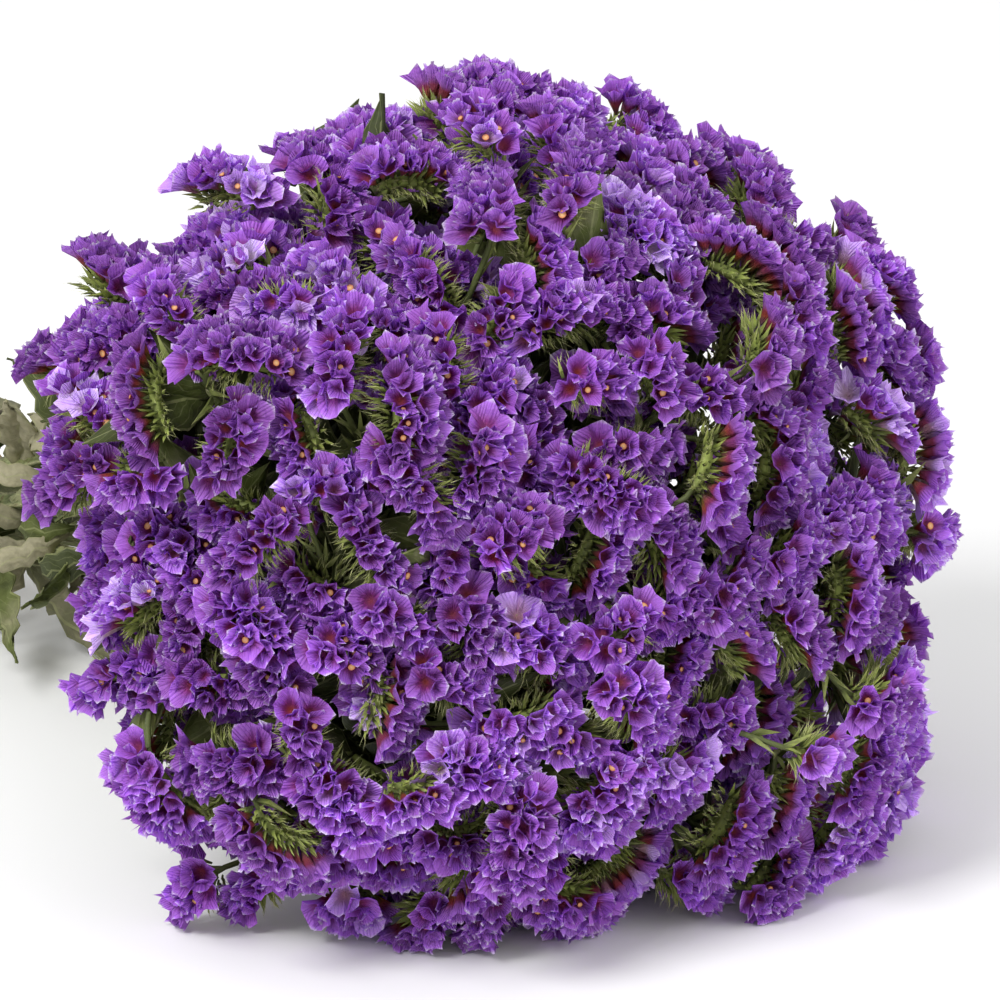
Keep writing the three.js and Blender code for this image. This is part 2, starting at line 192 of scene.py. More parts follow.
class StaticeColours(bpy.types.PropertyGroup):
    """The colours of the bunch"""

    violet: bpy.props.FloatVectorProperty(
        name="Violet",
        description="The calyx in full colour",
        default=(0.488, 0.194, 0.735),
        subtype="COLOR",
    )
    plum: bpy.props.FloatVectorProperty(
        name="Plum",
        description="The redder calyces",
        default=(0.330, 0.062, 0.430),
        subtype="COLOR",
    )
    lilac: bpy.props.FloatVectorProperty(
        name="Lilac",
        description="The calyx's thin rim",
        default=(0.790, 0.735, 0.865),
        subtype="COLOR",
    )
    throat: bpy.props.FloatVectorProperty(
        name="Throat",
        description="The red throat and tube of the calyx",
        default=(0.330, 0.022, 0.075),
        subtype="COLOR",
    )
    ember: bpy.props.FloatVectorProperty(
        name="Ember",
        description="The orange red where a calyx leaves its bracts",
        default=(0.560, 0.110, 0.045),
        subtype="COLOR",
    )
    cream: bpy.props.FloatVectorProperty(
        name="Cream",
        description="The dried corollas",
        default=(0.720, 0.420, 0.170),
        subtype="COLOR",
    )
    green: bpy.props.FloatVectorProperty(
        name="Green",
        description="Fresh bracts",
        default=(0.310, 0.400, 0.045),
        subtype="COLOR",
    )
    olive: bpy.props.FloatVectorProperty(
        name="Olive",
        description="Stems and old bracts",
        default=(0.055, 0.070, 0.018),
        subtype="COLOR",
    )
    straw: bpy.props.FloatVectorProperty(
        name="Straw",
        description="Hairs and dry edges",
        default=(0.580, 0.610, 0.270),
        subtype="COLOR",
    )
    beige: bpy.props.FloatVectorProperty(
        name="Beige",
        description="The driest leaves",
        default=(0.620, 0.560, 0.370),
        subtype="COLOR",
    )
    twine: bpy.props.FloatVectorProperty(
        name="Twine",
        description="The jute of the tie",
        default=(0.460, 0.320, 0.145),
        subtype="COLOR",
    )
    floor: bpy.props.FloatVectorProperty(
        name="Floor",
        description="The pale floor",
        default=(0.900, 0.900, 0.900),
        subtype="COLOR",
    )


# ---------------------------------------------------------------- layout


def seeded(seed):
    """A repeatable stream of numbers from 0 to 1."""
    state = (seed * 7919 + 104729) % 2147483647

    def draw():
        nonlocal state
        state = state * 16807 % 2147483647
        return state / 2147483647

    return draw


def stray(draw):
    """Three random values from -0.5 to 0.5."""
    return np.array([draw() - 0.5 for _ in range(3)])


def unit(v):
    """v at length 1, for one vector or for rows of them."""
    v = np.asarray(v, float)
    return v / np.linalg.norm(v, axis=-1, keepdims=True)


def in_bunch(ahead, side, rise):
    """A point given along the bunch, to its side and up across it, from the head's middle."""
    return HEAD_MIDDLE + ahead * AHEAD + side * SIDE + rise * RISE


def direction(polar, turn):
    """The unit direction at a polar angle and turn: x ahead, y to the side, z up."""
    return np.array([math.cos(polar), math.sin(polar) * math.cos(turn), math.sin(polar) * math.sin(turn)])


def head_size(d):
    """The head's half lengths in a direction from its middle."""
    return np.array([HEAD_FRONT if d[0] > 0 else HEAD_BACK, HEAD_HALF_WIDTH, HEAD_HALF_HEIGHT])


def start_directions():
    """Directions about each spray's middle, one for each of its clusters."""
    found = []
    spread = math.tan(CLUSTER_SPREAD * DEGREE)
    for stem, (polar, turn) in enumerate(SPRAYS):
        middle = direction(polar * DEGREE, turn * DEGREE)
        across = unit([0, -middle[2], middle[1]])
        along = np.cross(across, middle)
        count = INNER_CLUSTERS if stem < INNER_STEMS else OUTER_CLUSTERS
        for k in range(count):
            angle = (k + 0.5) / count * 2 * math.pi
            away = across * math.cos(angle) + along * math.sin(angle)
            found.append({"stem": stem, "letter": "abcde"[k], "d": unit(middle + away * spread)})
    return found


def settle(places):
    """Pushes the directions apart until the clusters stand evenly over the head."""
    furthest = LARGEST_POLAR * DEGREE
    for _ in range(SETTLING_STEPS):
        for a in places:
            own = a["d"] * head_size(a["d"])
            push = np.zeros(3)
            for b in places:
                apart = own - b["d"] * head_size(b["d"])
                distance = np.linalg.norm(apart)
                if b is not a and distance < CLUSTER_PITCH:
                    push += apart * (CLUSTER_PITCH - distance) / distance / 4
            a["d"] = unit((own + push) / head_size(a["d"]))
            if math.acos(a["d"][0]) > furthest:
                a["d"] = direction(furthest, math.atan2(a["d"][2], a["d"][1]))
    return places


def rim_reach(turn):
    """RIM_REACH at any turn, smooth between its values."""
    n = len(RIM_REACH)
    at = (turn / (2 * math.pi) * n + n) % n
    low = int(at) % n
    share = at - int(at)
    ease = share * share * (3 - 2 * share)
    return RIM_REACH[low] * (1 - ease) + RIM_REACH[(low + 1) % n] * ease


def cluster_places():
    """Each cluster's base and the way it faces."""
    draw = seeded(11)
    fan = in_bunch(-FAN_DEPTH, 0, 0)
    clusters = settle(start_directions())
    for index, c in enumerate(clusters):
        d = c["d"]
        swell = 1 + SWELL * (draw() - 0.5)
        reach = rim_reach(math.atan2(d[2], d[1])) * swell
        size = head_size(d)
        ahead = d[0] * size[0] * (swell + (reach - swell) * (1 - d[0] * d[0]))
        outer = in_bunch(ahead, d[1] * size[1] * reach, d[2] * size[2] * reach)
        base = outer - unit(outer - fan) * CLUSTER_REACH
        base[2] = max(base[2], CLUSTER_REACH - CLUSTER_SINK if d[2] < 0 else 0)
        wander = stray(draw)
        facing = unit(unit(base - fan) + wander * FACING_WANDER)
        draw()  # the turn of its solid about the way it faces
        c.update(index=index, base=base, facing=facing)
    return clusters


CLUSTERS = cluster_places()

VIEW_AZIMUTH = 52
VIEW_ELEVATION = 21
VIEW_DISTANCE = 3.0
VIEW_WIDTH = 0.3122  # of what the frame takes in at the target
VIEW_TARGET = (0.1236, -0.0187, 0.1309)
VIEW_BACK = np.array([
    math.sin(VIEW_AZIMUTH * DEGREE) * math.cos(VIEW_ELEVATION * DEGREE),
    -math.cos(VIEW_AZIMUTH * DEGREE) * math.cos(VIEW_ELEVATION * DEGREE),
    math.sin(VIEW_ELEVATION * DEGREE),
])
VIEW_RIGHT = unit(np.cross([0, 0, 1], VIEW_BACK))
VIEW_UP = np.cross(VIEW_BACK, VIEW_RIGHT)


def smooth_route(points, t):
    """The smooth curve through a few points, at a share t of their number."""
    count = len(points) - 1
    k = min(int(t * count), count - 1)
    weight = t * count - k
    p1, p2 = points[k], points[k + 1]
    p0 = points[k - 1] if k > 0 else 2 * p1 - p2
    p3 = points[k + 2] if k + 2 <= count else 2 * p2 - p1
    d0, d1, d2 = (math.sqrt(np.linalg.norm(b - a)) for a, b in ((p0, p1), (p1, p2), (p2, p3)))
    t1 = ((p1 - p0) / d0 - (p2 - p0) / (d0 + d1) + (p2 - p1) / d1) * d1
    t2 = ((p2 - p1) / d1 - (p3 - p1) / (d1 + d2) + (p3 - p2) / d2) * d1
    c2 = -3 * p1 + 3 * p2 - 2 * t1 - t2
    c3 = 2 * p1 - 2 * p2 + t1 + t2
    return p1 + weight * (t1 + weight * (c2 + weight * c3))


def stem_points(stem):
    """Where a stem is cut, passes the tie, bows outwards and forks."""
    turn = SPRAYS[stem][1] * DEGREE
    ring = INNER_RING if stem < INNER_STEMS else OUTER_RING
    side, rise = ring * math.cos(turn), ring * math.sin(turn)
    middle = np.mean([c["base"] for c in CLUSTERS if c["stem"] == stem], axis=0)
    fan = in_bunch(-FAN_DEPTH, 0, 0)
    fork = fan + (middle - fan) * FORK_SHARE
    tie = in_bunch(-TIE_BACK, side, rise)
    half = (tie + fork) / 2
    bow = half + (in_bunch(-FAN_DEPTH - BOW_BACK, side, rise) - half) * BOW_SHARE
    cut = in_bunch(-TAIL_LENGTH, side * TAIL_FLARE, rise * TAIL_FLARE)
    return [cut, tie, bow, fork]


def twig_ends(cluster):
    """A cluster's twig runs from inside its stem's tip to just under its combs."""
    points = stem_points(cluster["stem"])
    tip, before = smooth_route(points, 1), smooth_route(points, 0.9999)
    root = tip - unit(tip - before) * TWIG_SINK
    return root, cluster["base"] - cluster["facing"] * CUP_HEIGHT * 0.7


def label(cluster):
    """A cluster's stem number and letter, as its node has them."""
    return f"{cluster['stem'] + 1:02d}{cluster['letter']}"


# ---------------------------------------------------------------- combs

CALYX_VARIANTS = 12
CALYX_OPENNESS = (0.86, 1.12)
CALYX_FOLD = (0.40, 1.0)  # how round its mouth still is
CALYX_SPREAD = (0.70, 1.14)  # of its width, from the middle of a comb to its ends
COMBS_EACH = 5  # in a cluster, before they settle
INNER_COMBS_EACH = 2  # lower down its twig, behind the others
INNER_PITCH = 0.050
INNER_DEPTH = 0.026
COMB_START = 26  # degrees from a cluster's axis at which its combs start
COMB_PITCH = 0.038  # how far apart the middles of neighbouring combs settle
COMB_STEPS = 60
COMB_LARGEST_POLAR = 108
COMB_HOLD = 0.06  # how strongly a comb is held by its own cluster
BOX_MARGIN = 0.0085  # from the middle of a comb to the sides of the solids' box
DEEP = 0.016  # how much deeper than the head's surface a comb may sit
ARC_RADIUS = (0.014, 0.026)  # of a comb's ridge, seen from its side
BEND_RADIUS = 0.045  # of the tightest sideways bend of a ridge
COMB_STATIONS = (6, 10)
STATION_PITCH = 0.0026  # along the ridge
ROWS = (2, 2, 3, 2, 3)
COMB_TILT = 36  # degrees by which a comb's brush may tip to each side
END_LEAN = 0.35  # how far the last calyces of a comb lean out along it
OUTLINE_SWELLS = [  # of the head seen from its flower end, anticlockwise from its right
    0.008, 0.006, 0.009, -0.013, -0.008, 0.010, -0.003, -0.012, -0.004, 0.011, 0.011, 0.007,
    0, 0, -0.006, 0.003, 0, -0.014, -0.002, 0.007, 0.004, 0.002, 0.005, -0.006,
]
STANDOUTS = [  # combs that stand out of it, across and up from the head's middle
    (-0.074, 0.094),
    (0.004, 0.124),
    (0.052, 0.118),
    (0.130, 0.064),
    (-0.083, -0.122),
    (-0.126, 0.040),
    (-0.112, 0.066),
    (0.128, -0.098),
]
FILLERS = [(0.081, 0.046), (0.118, 0.022), (0.104, -0.062), (0.074, 0.012)]  # combs behind thin spots
FILLER_DEPTH = 0.032


def between(ends, share):
    """The value at a share of the way between two ends."""
    return ends[0] + (ends[1] - ends[0]) * share


def outer_places(directions, swells):
    """Where the head's outer surface is in each direction from its middle."""
    reach = np.array([rim_reach(math.atan2(d[2], d[1])) for d in directions]) * swells
    size = np.array([head_size(d) for d in directions])
    d = directions
    ahead = d[:, 0] * size[:, 0] * (swells + (reach - swells) * (1 - d[:, 0] ** 2))
    side, rise = d[:, 1] * size[:, 1] * reach, d[:, 2] * size[:, 2] * reach
    return HEAD_MIDDLE + ahead[:, None] * AHEAD + side[:, None] * SIDE + rise[:, None] * RISE


def outline_shift(place):
    """How far a comb moves outwards, seen from the flower end, so that the head's outline swells there."""
    away = place - HEAD_MIDDLE
    across, up = away @ VIEW_RIGHT, away @ VIEW_UP
    n = len(OUTLINE_SWELLS)
    at = (math.atan2(up, across) / (2 * math.pi) * n + n) % n
    low = int(at) % n
    share = at - int(at)
    swell = OUTLINE_SWELLS[low] * (1 - share) + OUTLINE_SWELLS[(low + 1) % n] * share
    reach = math.hypot(across, up)
    way = (VIEW_RIGHT * across + VIEW_UP * up) / reach
    return way * swell * min(reach / HEAD_HALF_WIDTH, 1) ** 2


def spread_out(homes, pitch):
    """Pushes the combs' directions apart over the head, each still held by its cluster."""
    directions = homes.copy()
    for _ in range(COMB_STEPS):
        reach = np.array([rim_reach(math.atan2(d[2], d[1])) for d in directions])
        size = np.array([head_size(d) for d in directions])
        size[:, 1:] *= reach[:, None]
        places = directions * size
        apart = places[:, None] - places[None, :]
        distance = np.linalg.norm(apart, axis=2) + np.eye(len(places))
        close = np.clip(pitch - distance, 0, None) * (1 - np.eye(len(places)))
        push = np.sum(apart * (close / distance / 4)[:, :, None], axis=1)
        directions = unit((places + push) / size + (homes - directions) * COMB_HOLD)
        for d in directions:
            if math.acos(d[0]) > COMB_LARGEST_POLAR * DEGREE:
                d[:] = direction(COMB_LARGEST_POLAR * DEGREE, math.atan2(d[2], d[1]))
    return directions


def comb_ridge(middle, out, draw):
    """The points along a comb's curved ridge, and at each the ways out, along and across."""
    count = COMB_STATIONS[0] + int((COMB_STATIONS[1] - COMB_STATIONS[0] + 1) * draw())
    loose = stray(draw)
    along = unit(loose - out * (loose @ out))
    across = np.cross(out, along)
    radius = between(ARC_RADIUS, draw())
    bend = (2 * draw() - 1) / BEND_RADIUS
    tilt = COMB_TILT * DEGREE * (2 * draw() - 1)
    place = (np.arange(count) - (count - 1) / 2)[:, None] * STATION_PITCH
    turn = place / radius
    ridge = middle + along * np.sin(turn) * radius - out * (1 - np.cos(turn)) * radius
    ridge = ridge + across * place**2 * bend / 2
    outs = unit(out * np.cos(turn) + along * np.sin(turn))
    alongs = unit(np.gradient(ridge, axis=0))
    acrosses = unit(np.cross(outs, alongs))
    brush = outs * math.cos(tilt) + acrosses * math.sin(tilt)
    side = unit(np.cross(brush, alongs))
    share = np.linspace(0, 1, count)[:, None]
    return {"ridge": ridge, "along": alongs, "brush": brush, "side": side, "share": share}


def layer_of_combs(each, pitch, depth, sizes, draw):
    """A layer of combs over the head, some for every cluster, at a depth below its outer surface."""
    homes, owners = [], []
    for cluster in CLUSTERS:
        d = cluster["d"]
        across = unit(np.cross(d, [0.3, 0.5, 0.8]))
        along = np.cross(across, d)
        start = draw() * 2 * math.pi
        for k in range(each):
            angle = start + (k + 0.5 * draw()) / each * 2 * math.pi
            away = across * math.cos(angle) + along * math.sin(angle)
            homes.append(unit(d + away * math.tan(COMB_START * DEGREE / 2)))
            owners.append(cluster)
    directions = spread_out(np.array(homes), pitch)
    swells = np.array([1 + SWELL * (draw() - 0.5) for _ in owners])
    fan = in_bunch(-FAN_DEPTH, 0, 0)
    combs = []
    for owner, place in zip(owners, outer_places(directions, swells)):
        wander = stray(draw)
        straight = unit(place - fan)
        middle = place - straight * (sizes.calyx_length + depth + DEEP * draw())
        middle = middle + outline_shift(middle)
        middle = np.clip(middle, np.array(CAD_BOX[0]) + BOX_MARGIN, np.array(CAD_BOX[1]) - BOX_MARGIN)
        comb = comb_ridge(middle, unit(straight + wander * 0.5), draw)
        comb["cluster"] = owner
        comb["outer"] = depth == 0
        comb["tone"] = draw()
        comb["rows"] = min(ROWS[int(draw() * len(ROWS))], 3 if depth == 0 else 2)
        combs.append(comb)
    return combs


def added_combs(combs, places, depth):
    """One more comb at each place, like the comb that is nearest to it from the flower end, and deeper."""
    middles = np.array([comb["ridge"].mean(axis=0) for comb in combs])
    found = []
    for across, up in places:
        away = HEAD_MIDDLE + across * VIEW_RIGHT + up * VIEW_UP - middles
        flat = away - (away @ VIEW_BACK)[:, None] * VIEW_BACK
        nearest = np.argmin(np.linalg.norm(flat, axis=1))
        found.append({**combs[nearest], "ridge": combs[nearest]["ridge"] + flat[nearest] - VIEW_BACK * depth})
    return found


def comb_places(sizes):
    """Every comb of the head, with the cluster that it belongs to."""
    draw = seeded(300)
    outer = layer_of_combs(COMBS_EACH, COMB_PITCH, 0, sizes, draw)
    inner = layer_of_combs(INNER_COMBS_EACH, INNER_PITCH, INNER_DEPTH, sizes, draw)
    return outer + added_combs(outer, STANDOUTS, 0) + added_combs(outer, FILLERS, FILLER_DEPTH) + inner


def florets_of(comb, sizes, draw):
    """The root and aim of every calyx on a comb, and how wide it opens: most at the comb's ends."""
    roots, aims, opens = [], [], []
    count = len(comb["ridge"])
    for row in range(comb["rows"]):
        place = row - (comb["rows"] - 1) / 2
        for k in range(count - row % 2):
            at = k + 0.5 * (row % 2)
            low, high = int(at), min(int(at) + 1, count - 1)
            ridge, along, brush, side, share = (
                comb[key][low] * (1 - at % 1) + comb[key][high] * (at % 1)
                for key in ("ridge", "along", "brush", "side", "share")
            )
            fan = place * sizes.row_fan + 0.2 * (draw() - 0.5)
            aim = brush * math.cos(fan) + side * math.sin(fan)
            ends = (2 * share - 1) ** 3 * END_LEAN
            wobble = stray(draw) * 0.35
            roots.append(ridge + side * place * sizes.row_gap)
            aims.append(unit(aim + along * ends + wobble))
            opens.append(between(CALYX_SPREAD, max((2 * share.item() - 1) ** 2, draw() ** 3)))
    return np.array(roots), np.array(aims), np.array(opens)


# ---------------------------------------------------------------- modelling helpers


def new_piece_starts():
    """Leaves edit mode and deselects everything, so that a new shape starts alone."""
    if bpy.context.object and bpy.context.object.mode != "OBJECT":
        bpy.ops.object.mode_set(mode="OBJECT")
    bpy.ops.object.select_all(action="DESELECT")


def select_points(test):
    """In edit mode, selects the points whose place passes the test, and the edges between them."""
    mesh = bpy.context.object.data
    shape = bmesh.from_edit_mesh(mesh)
    for face in shape.faces:
        face.select = False
    for edge in shape.edges:
        edge.select = False
    for point in shape.verts:
        point.select = bool(test(point.co))
    shape.select_flush_mode()
    bmesh.update_edit_mesh(mesh)


def delete_fins():
    """In edit mode, deletes the triangles that both walls of a rim fell on, which closes it again."""
    bpy.ops.mesh.select_mode(type="EDGE")
    bpy.ops.mesh.select_all(action="DESELECT")
    bpy.ops.mesh.select_non_manifold(
        use_wire=False, use_boundary=True, use_multi_face=False, use_non_contiguous=False, use_verts=False
    )
    bpy.ops.mesh.delete(type="EDGE")
    bpy.ops.mesh.delete_loose()


def radius_of(co):
    """A point's distance from the Z axis."""
    return math.hypot(co.x, co.y)


def turn_of(co):
    """A point's turn about the Z axis, in degrees from 0 to 360."""
    return math.degrees(math.atan2(co.y, co.x)) % 360


def kept_shape(obj, along):
    """A modelled shape's faces, with u round it and v from along(point, face). The object is removed."""
    mesh = obj.data
    count = len(mesh.vertices)
    points = np.empty(count * 3)
    mesh.vertices.foreach_get("co", points)
    points = points.reshape(-1, 3)
    corners = np.empty(len(mesh.loops), int)
    mesh.loops.foreach_get("vertex_index", corners)
    sides = np.empty(len(mesh.polygons), int)
    mesh.polygons.foreach_get("loop_total", sides)
    turns = np.arctan2(points[:, 1], points[:, 0]) / (2 * math.pi)
    uv = np.empty((len(corners), 2))
    smooth = np.empty(len(mesh.polygons), bool)
    mesh.polygons.foreach_get("use_smooth", smooth)
    for face in mesh.polygons:
        own = math.atan2(face.center.y, face.center.x) / (2 * math.pi)
        for loop in face.loop_indices:
            point = corners[loop]
            on_axis = math.hypot(points[point, 0], points[point, 1]) < 1e-6
            slip = 0 if on_axis else (turns[point] - own + 0.5) % 1 - 0.5
            uv[loop] = (own + slip, along(points[point], face))
    bpy.data.objects.remove(obj)
    bpy.data.meshes.remove(mesh)
    return {"points": points, "corners": corners, "sides": sides, "uv": uv, "smooth": smooth}


def turned_to(aims, fronts):
    """Axes with +Z along each aim and +X as near its front as may be, as rows of 3 x 3 values."""
    z = unit(aims)
    x = unit(fronts - z * np.sum(fronts * z, axis=1, keepdims=True))
    return np.stack([x, np.cross(z, x), z], axis=1)


def any_fronts(aims, draw):
    """A random way round each aim."""
    loose = np.array([stray(draw) for _ in aims])
    return loose + 1e-3


def copies(shape, roots, axes, scales, tones, material=0):
    """A copy of a shape at each root, turned to its axes and scaled."""
    scales = np.asarray(scales, float)
    scales = scales if scales.ndim == 2 else np.repeat(scales[:, None], 3, axis=1)
    points = np.einsum("ij,nj,njk->nik", shape["points"], scales, axes) + roots[:, None, :]
    count, size = len(roots), len(shape["points"])
    corners = (shape["corners"][None, :] + np.arange(count)[:, None] * size).ravel()
    return {
        "points": points.reshape(-1, 3),
        "corners": corners,
        "sides": np.tile(shape["sides"], count),
        "smooth": np.tile(shape["smooth"], count),
        "uv": np.tile(shape["uv"], (count, 1)),
        "tone": np.repeat(np.asarray(tones, float), size),
        "material": np.full(count * len(shape["sides"]), material),
    }


def merged(parts):
    """Several sets of faces as one."""
    offsets = np.cumsum([0] + [len(p["points"]) for p in parts[:-1]])
    whole = {key: np.concatenate([p[key] for p in parts]) for key in parts[0]}
    whole["corners"] = np.concatenate([p["corners"] + o for p, o in zip(parts, offsets)])
    return whole


def joined(name, parts, materials):
    """One mesh object of several sets of faces."""
    whole = merged(parts)
    points, corners, sides = whole["points"], whole["corners"], whole["sides"]
    mesh = bpy.data.meshes.new(name)
    mesh.vertices.add(len(points))
    mesh.vertices.foreach_set("co", points.ravel())
    mesh.loops.add(len(corners))
    mesh.loops.foreach_set("vertex_index", corners)
    mesh.polygons.add(len(sides))
    mesh.polygons.foreach_set("loop_start", np.cumsum(sides) - sides)
    mesh.polygons.foreach_set("loop_total", sides)
    mesh.polygons.foreach_set("material_index", whole["material"])
    mesh.polygons.foreach_set("use_smooth", whole["smooth"])
    layer = mesh.uv_layers.new(name="along")
    layer.data.foreach_set("uv", whole["uv"].ravel())
    tone = mesh.attributes.new("tone", "FLOAT", "POINT")
    tone.data.foreach_set("value", whole["tone"])
    mesh.update(calc_edges=True)
    mesh.validate()
    for material in materials:
        mesh.materials.append(material)
    obj = bpy.data.objects.new(name, mesh)
    bpy.context.scene.collection.objects.link(obj)
    return obj


def swept(lines, section=None, tone=0.5, v=0.3, material=0):
    """Closed tubes along lines of points, each point with its radius, as one set of faces."""
    new_piece_starts()
    bpy.ops.curve.primitive_nurbs_path_add()
    obj = bpy.context.object
    curve = obj.data
    curve.splines.clear()
    for points, radii in lines:
        spline = curve.splines.new("POLY")
        spline.points.add(len(points) - 1)
        for point, place, radius in zip(spline.points, points, radii):
            point.co = (*place, 1)
            point.radius = radius
    curve.use_fill_caps = True
    curve.twist_mode = "MINIMUM"
    if section:
        curve.bevel_mode = "OBJECT"
        curve.bevel_object = section
    else:
        curve.bevel_depth = 1
        curve.bevel_resolution = 1
    bpy.ops.object.convert(target="MESH")
    shape = loose_part(bpy.context.object, tone, v, material)
    order = shape.pop("order")
    if section:
        around = len(section.data.splines[0].points)
        shape["uv"][:, 0] = order % around / around
    return shape


def loose_part(obj, tone, v, material=0):
    """A swept tube as a set of faces with one tone, its flat end caps joined on. The object is removed."""
    shape = kept_shape(obj, lambda point, face: v)
    shape["order"] = shape["corners"]
    _, firsts, merged_to = np.unique(
        np.round(shape["points"], 7), axis=0, return_index=True, return_inverse=True
    )
    shape["points"] = shape["points"][firsts]
    shape["corners"] = merged_to.ravel()[shape["corners"]]
    shape["smooth"] = shape["sides"] > 3
    shape["tone"] = np.full(len(shape["points"]), tone)
    shape["material"] = np.full(len(shape["sides"]), material)
    return shape


def section_of(radii):
    """A closed outline with its points at these radii, wound so that the tubes it makes face outwards."""
    new_piece_starts()
    bpy.ops.curve.primitive_bezier_circle_add()
    obj = bpy.context.object
    curve = obj.data
    curve.splines.clear()
    spline = curve.splines.new("POLY")
    spline.points.add(len(radii) - 1)
    spline.use_cyclic_u = True
    for k, (point, radius) in enumerate(zip(spline.points, radii)):
        turn = -k / len(radii) * 2 * math.pi
        point.co = (radius * math.cos(turn), radius * math.sin(turn), 0, 1)
    return obj


def placed(obj, slot, *nodes):
    """Gives a finished piece its body and hides the nodes that it stands for. Its slot argument is not used."""
    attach(obj, "root")
    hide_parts(*nodes)
    return obj


def above_floor(parts):
    """Presses whatever would sink into the surface flat on it."""
    for part in parts:
        height = part["points"][:, 2]
        low = height < 0.002
        height[low] = 0.002 * np.exp((height[low] - 0.002) / 0.002)
    return parts


# ---------------------------------------------------------------- modelled shapes


def calyx_shape(number, sizes):
    """A papery funnel with five pleated lobes, its root at the origin and its mouth along +Z."""
    draw = seeded(500 + number)
    length, mouth = sizes.calyx_length, sizes.calyx_mouth
    throat = 0.54 * length
    new_piece_starts()
    bpy.ops.mesh.primitive_cone_add(
        vertices=10, radius1=0, radius2=mouth, depth=length, end_fill_type="TRIFAN",
        location=(0, 0, length / 2),
    )
    bpy.ops.object.transform_apply(location=True)
    obj = bpy.context.object
    bpy.ops.object.mode_set(mode="EDIT")
    bpy.ops.mesh.select_mode(type="VERT")
    select_points(lambda co: radius_of(co) < mouth / 9 and co.z > throat)
    bpy.ops.transform.translate(value=(0, 0, -0.6 * length))
    bpy.ops.mesh.select_all(action="SELECT")
    bpy.ops.mesh.bisect(plane_co=(0, 0, throat), plane_no=(0, 0, 1))
    on_ring = lambda co: abs(co.z - throat) < 1e-5
    split = mouth * throat / length * 0.8
    select_points(lambda co: on_ring(co) and radius_of(co) > split)
    bpy.ops.transform.resize(value=(0.66, 0.66, 1), center_override=(0, 0, throat))
    rim = lambda co: radius_of(co) > 0.9 * mouth
    select_points(rim)
    bpy.ops.mesh.subdivide(number_cuts=1)
    off_notch = lambda co, turn: abs((turn_of(co) - turn + 36) % 72 - 36)
    select_points(lambda co: rim(co) and off_notch(co, 18) % 36 < 5)
    bpy.ops.transform.resize(value=(0.93, 0.93, 1), center_override=(0, 0, length))
    bpy.ops.transform.translate(value=(0, 0, -sizes.pleat))
    select_points(lambda co: co.z > 0.8 * length and off_notch(co, 0) < 8)
    bpy.ops.transform.resize(value=(0.88, 0.88, 1), center_override=(0, 0, length))
    bpy.ops.transform.translate(value=(0, 0, -0.06 * length))
    select_points(lambda co: co.z > 0.8 * length and off_notch(co, 36) < 8)
    bpy.ops.transform.resize(value=(1.03, 1.03, 1), center_override=(0, 0, length))
    bpy.ops.transform.translate(value=(0, 0, 0.03 * length))
    select_points(lambda co: co.z > 0.8 * length)
    opened = between(CALYX_OPENNESS, draw())
    folded = between(CALYX_FOLD, draw())
    bpy.ops.transform.resize(value=(opened, opened * folded, 1), center_override=(0, 0, length))
    bpy.ops.transform.translate(value=(0.2 * mouth * (draw() - 0.5), 0.2 * mouth * (draw() - 0.5), 0))
    bpy.ops.transform.vertex_random(offset=sizes.ruffle, seed=number + 1, wait_for_input=False)
    bpy.ops.mesh.select_all(action="SELECT")
    bpy.ops.mesh.quads_convert_to_tris(quad_method="BEAUTY", ngon_method="BEAUTY")
    delete_fins()
    bpy.ops.object.mode_set(mode="OBJECT")
    for face in obj.data.polygons:
        face.use_smooth = face.center.z < throat

    def along(point, face):
        inner = face.normal.z > 0 and face.center.z > 0.35 * length
        share = min(point[2] / length, 1)
        return 2 - share if inner else share

    return kept_shape(obj, along)


def corolla_shape(sizes):
    """A small dried star that sits in a calyx's throat."""
    new_piece_starts()
    reach = 0.0011
    bpy.ops.mesh.primitive_cone_add(
        vertices=10, radius1=0, radius2=reach, depth=0.0026, end_fill_type="TRIFAN",
        location=(0, 0, 0.60 * sizes.calyx_length),
    )
    bpy.ops.object.transform_apply(location=True)
    obj = bpy.context.object
    bpy.ops.object.mode_set(mode="EDIT")
    bpy.ops.mesh.select_mode(type="VERT")
    select_points(lambda co: radius_of(co) > reach / 2 and min(turn_of(co) % 72, 72 - turn_of(co) % 72) < 8)
    bpy.ops.transform.resize(value=(0.55, 0.55, 1))
    bpy.ops.object.mode_set(mode="OBJECT")
    return kept_shape(obj, lambda point, face: min(math.hypot(*point[:2]) / reach, 1))


def bract_shape(sizes):
    """A keeled, pointed bract with its root at the origin, its tip along +Z and its keel towards +X."""
    length = sizes.bract_length
    new_piece_starts()
    bpy.ops.mesh.primitive_cone_add(
        vertices=3, radius1=0.0005, radius2=0, depth=length,
        location=(0, 0, length / 2), rotation=(0, 0, -math.pi / 2),
    )
    bpy.ops.object.transform_apply(location=True, rotation=True)
    obj = bpy.context.object
    bpy.ops.object.mode_set(mode="EDIT")
    bpy.ops.mesh.select_mode(type="VERT")
    bpy.ops.mesh.select_all(action="SELECT")
    bpy.ops.mesh.bisect(plane_co=(0, 0, 0.34 * length), plane_no=(0, 0, 1))
    middle = lambda co: abs(co.z - 0.34 * length) < 1e-5
    select_points(middle)
    bpy.ops.transform.resize(value=(1.1, 1.7, 1), center_override=(0, 0, 0.34 * length))
    select_points(lambda co: middle(co) and abs(co.y) > abs(co.x))
    bpy.ops.transform.translate(value=(-0.0005, 0, 0))
    select_points(lambda co: co.z > 0.9 * length)
    bpy.ops.transform.translate(value=(0.0007, 0, 0))
    bpy.ops.object.mode_set(mode="OBJECT")
    return kept_shape(obj, lambda point, face: point[2] / length)


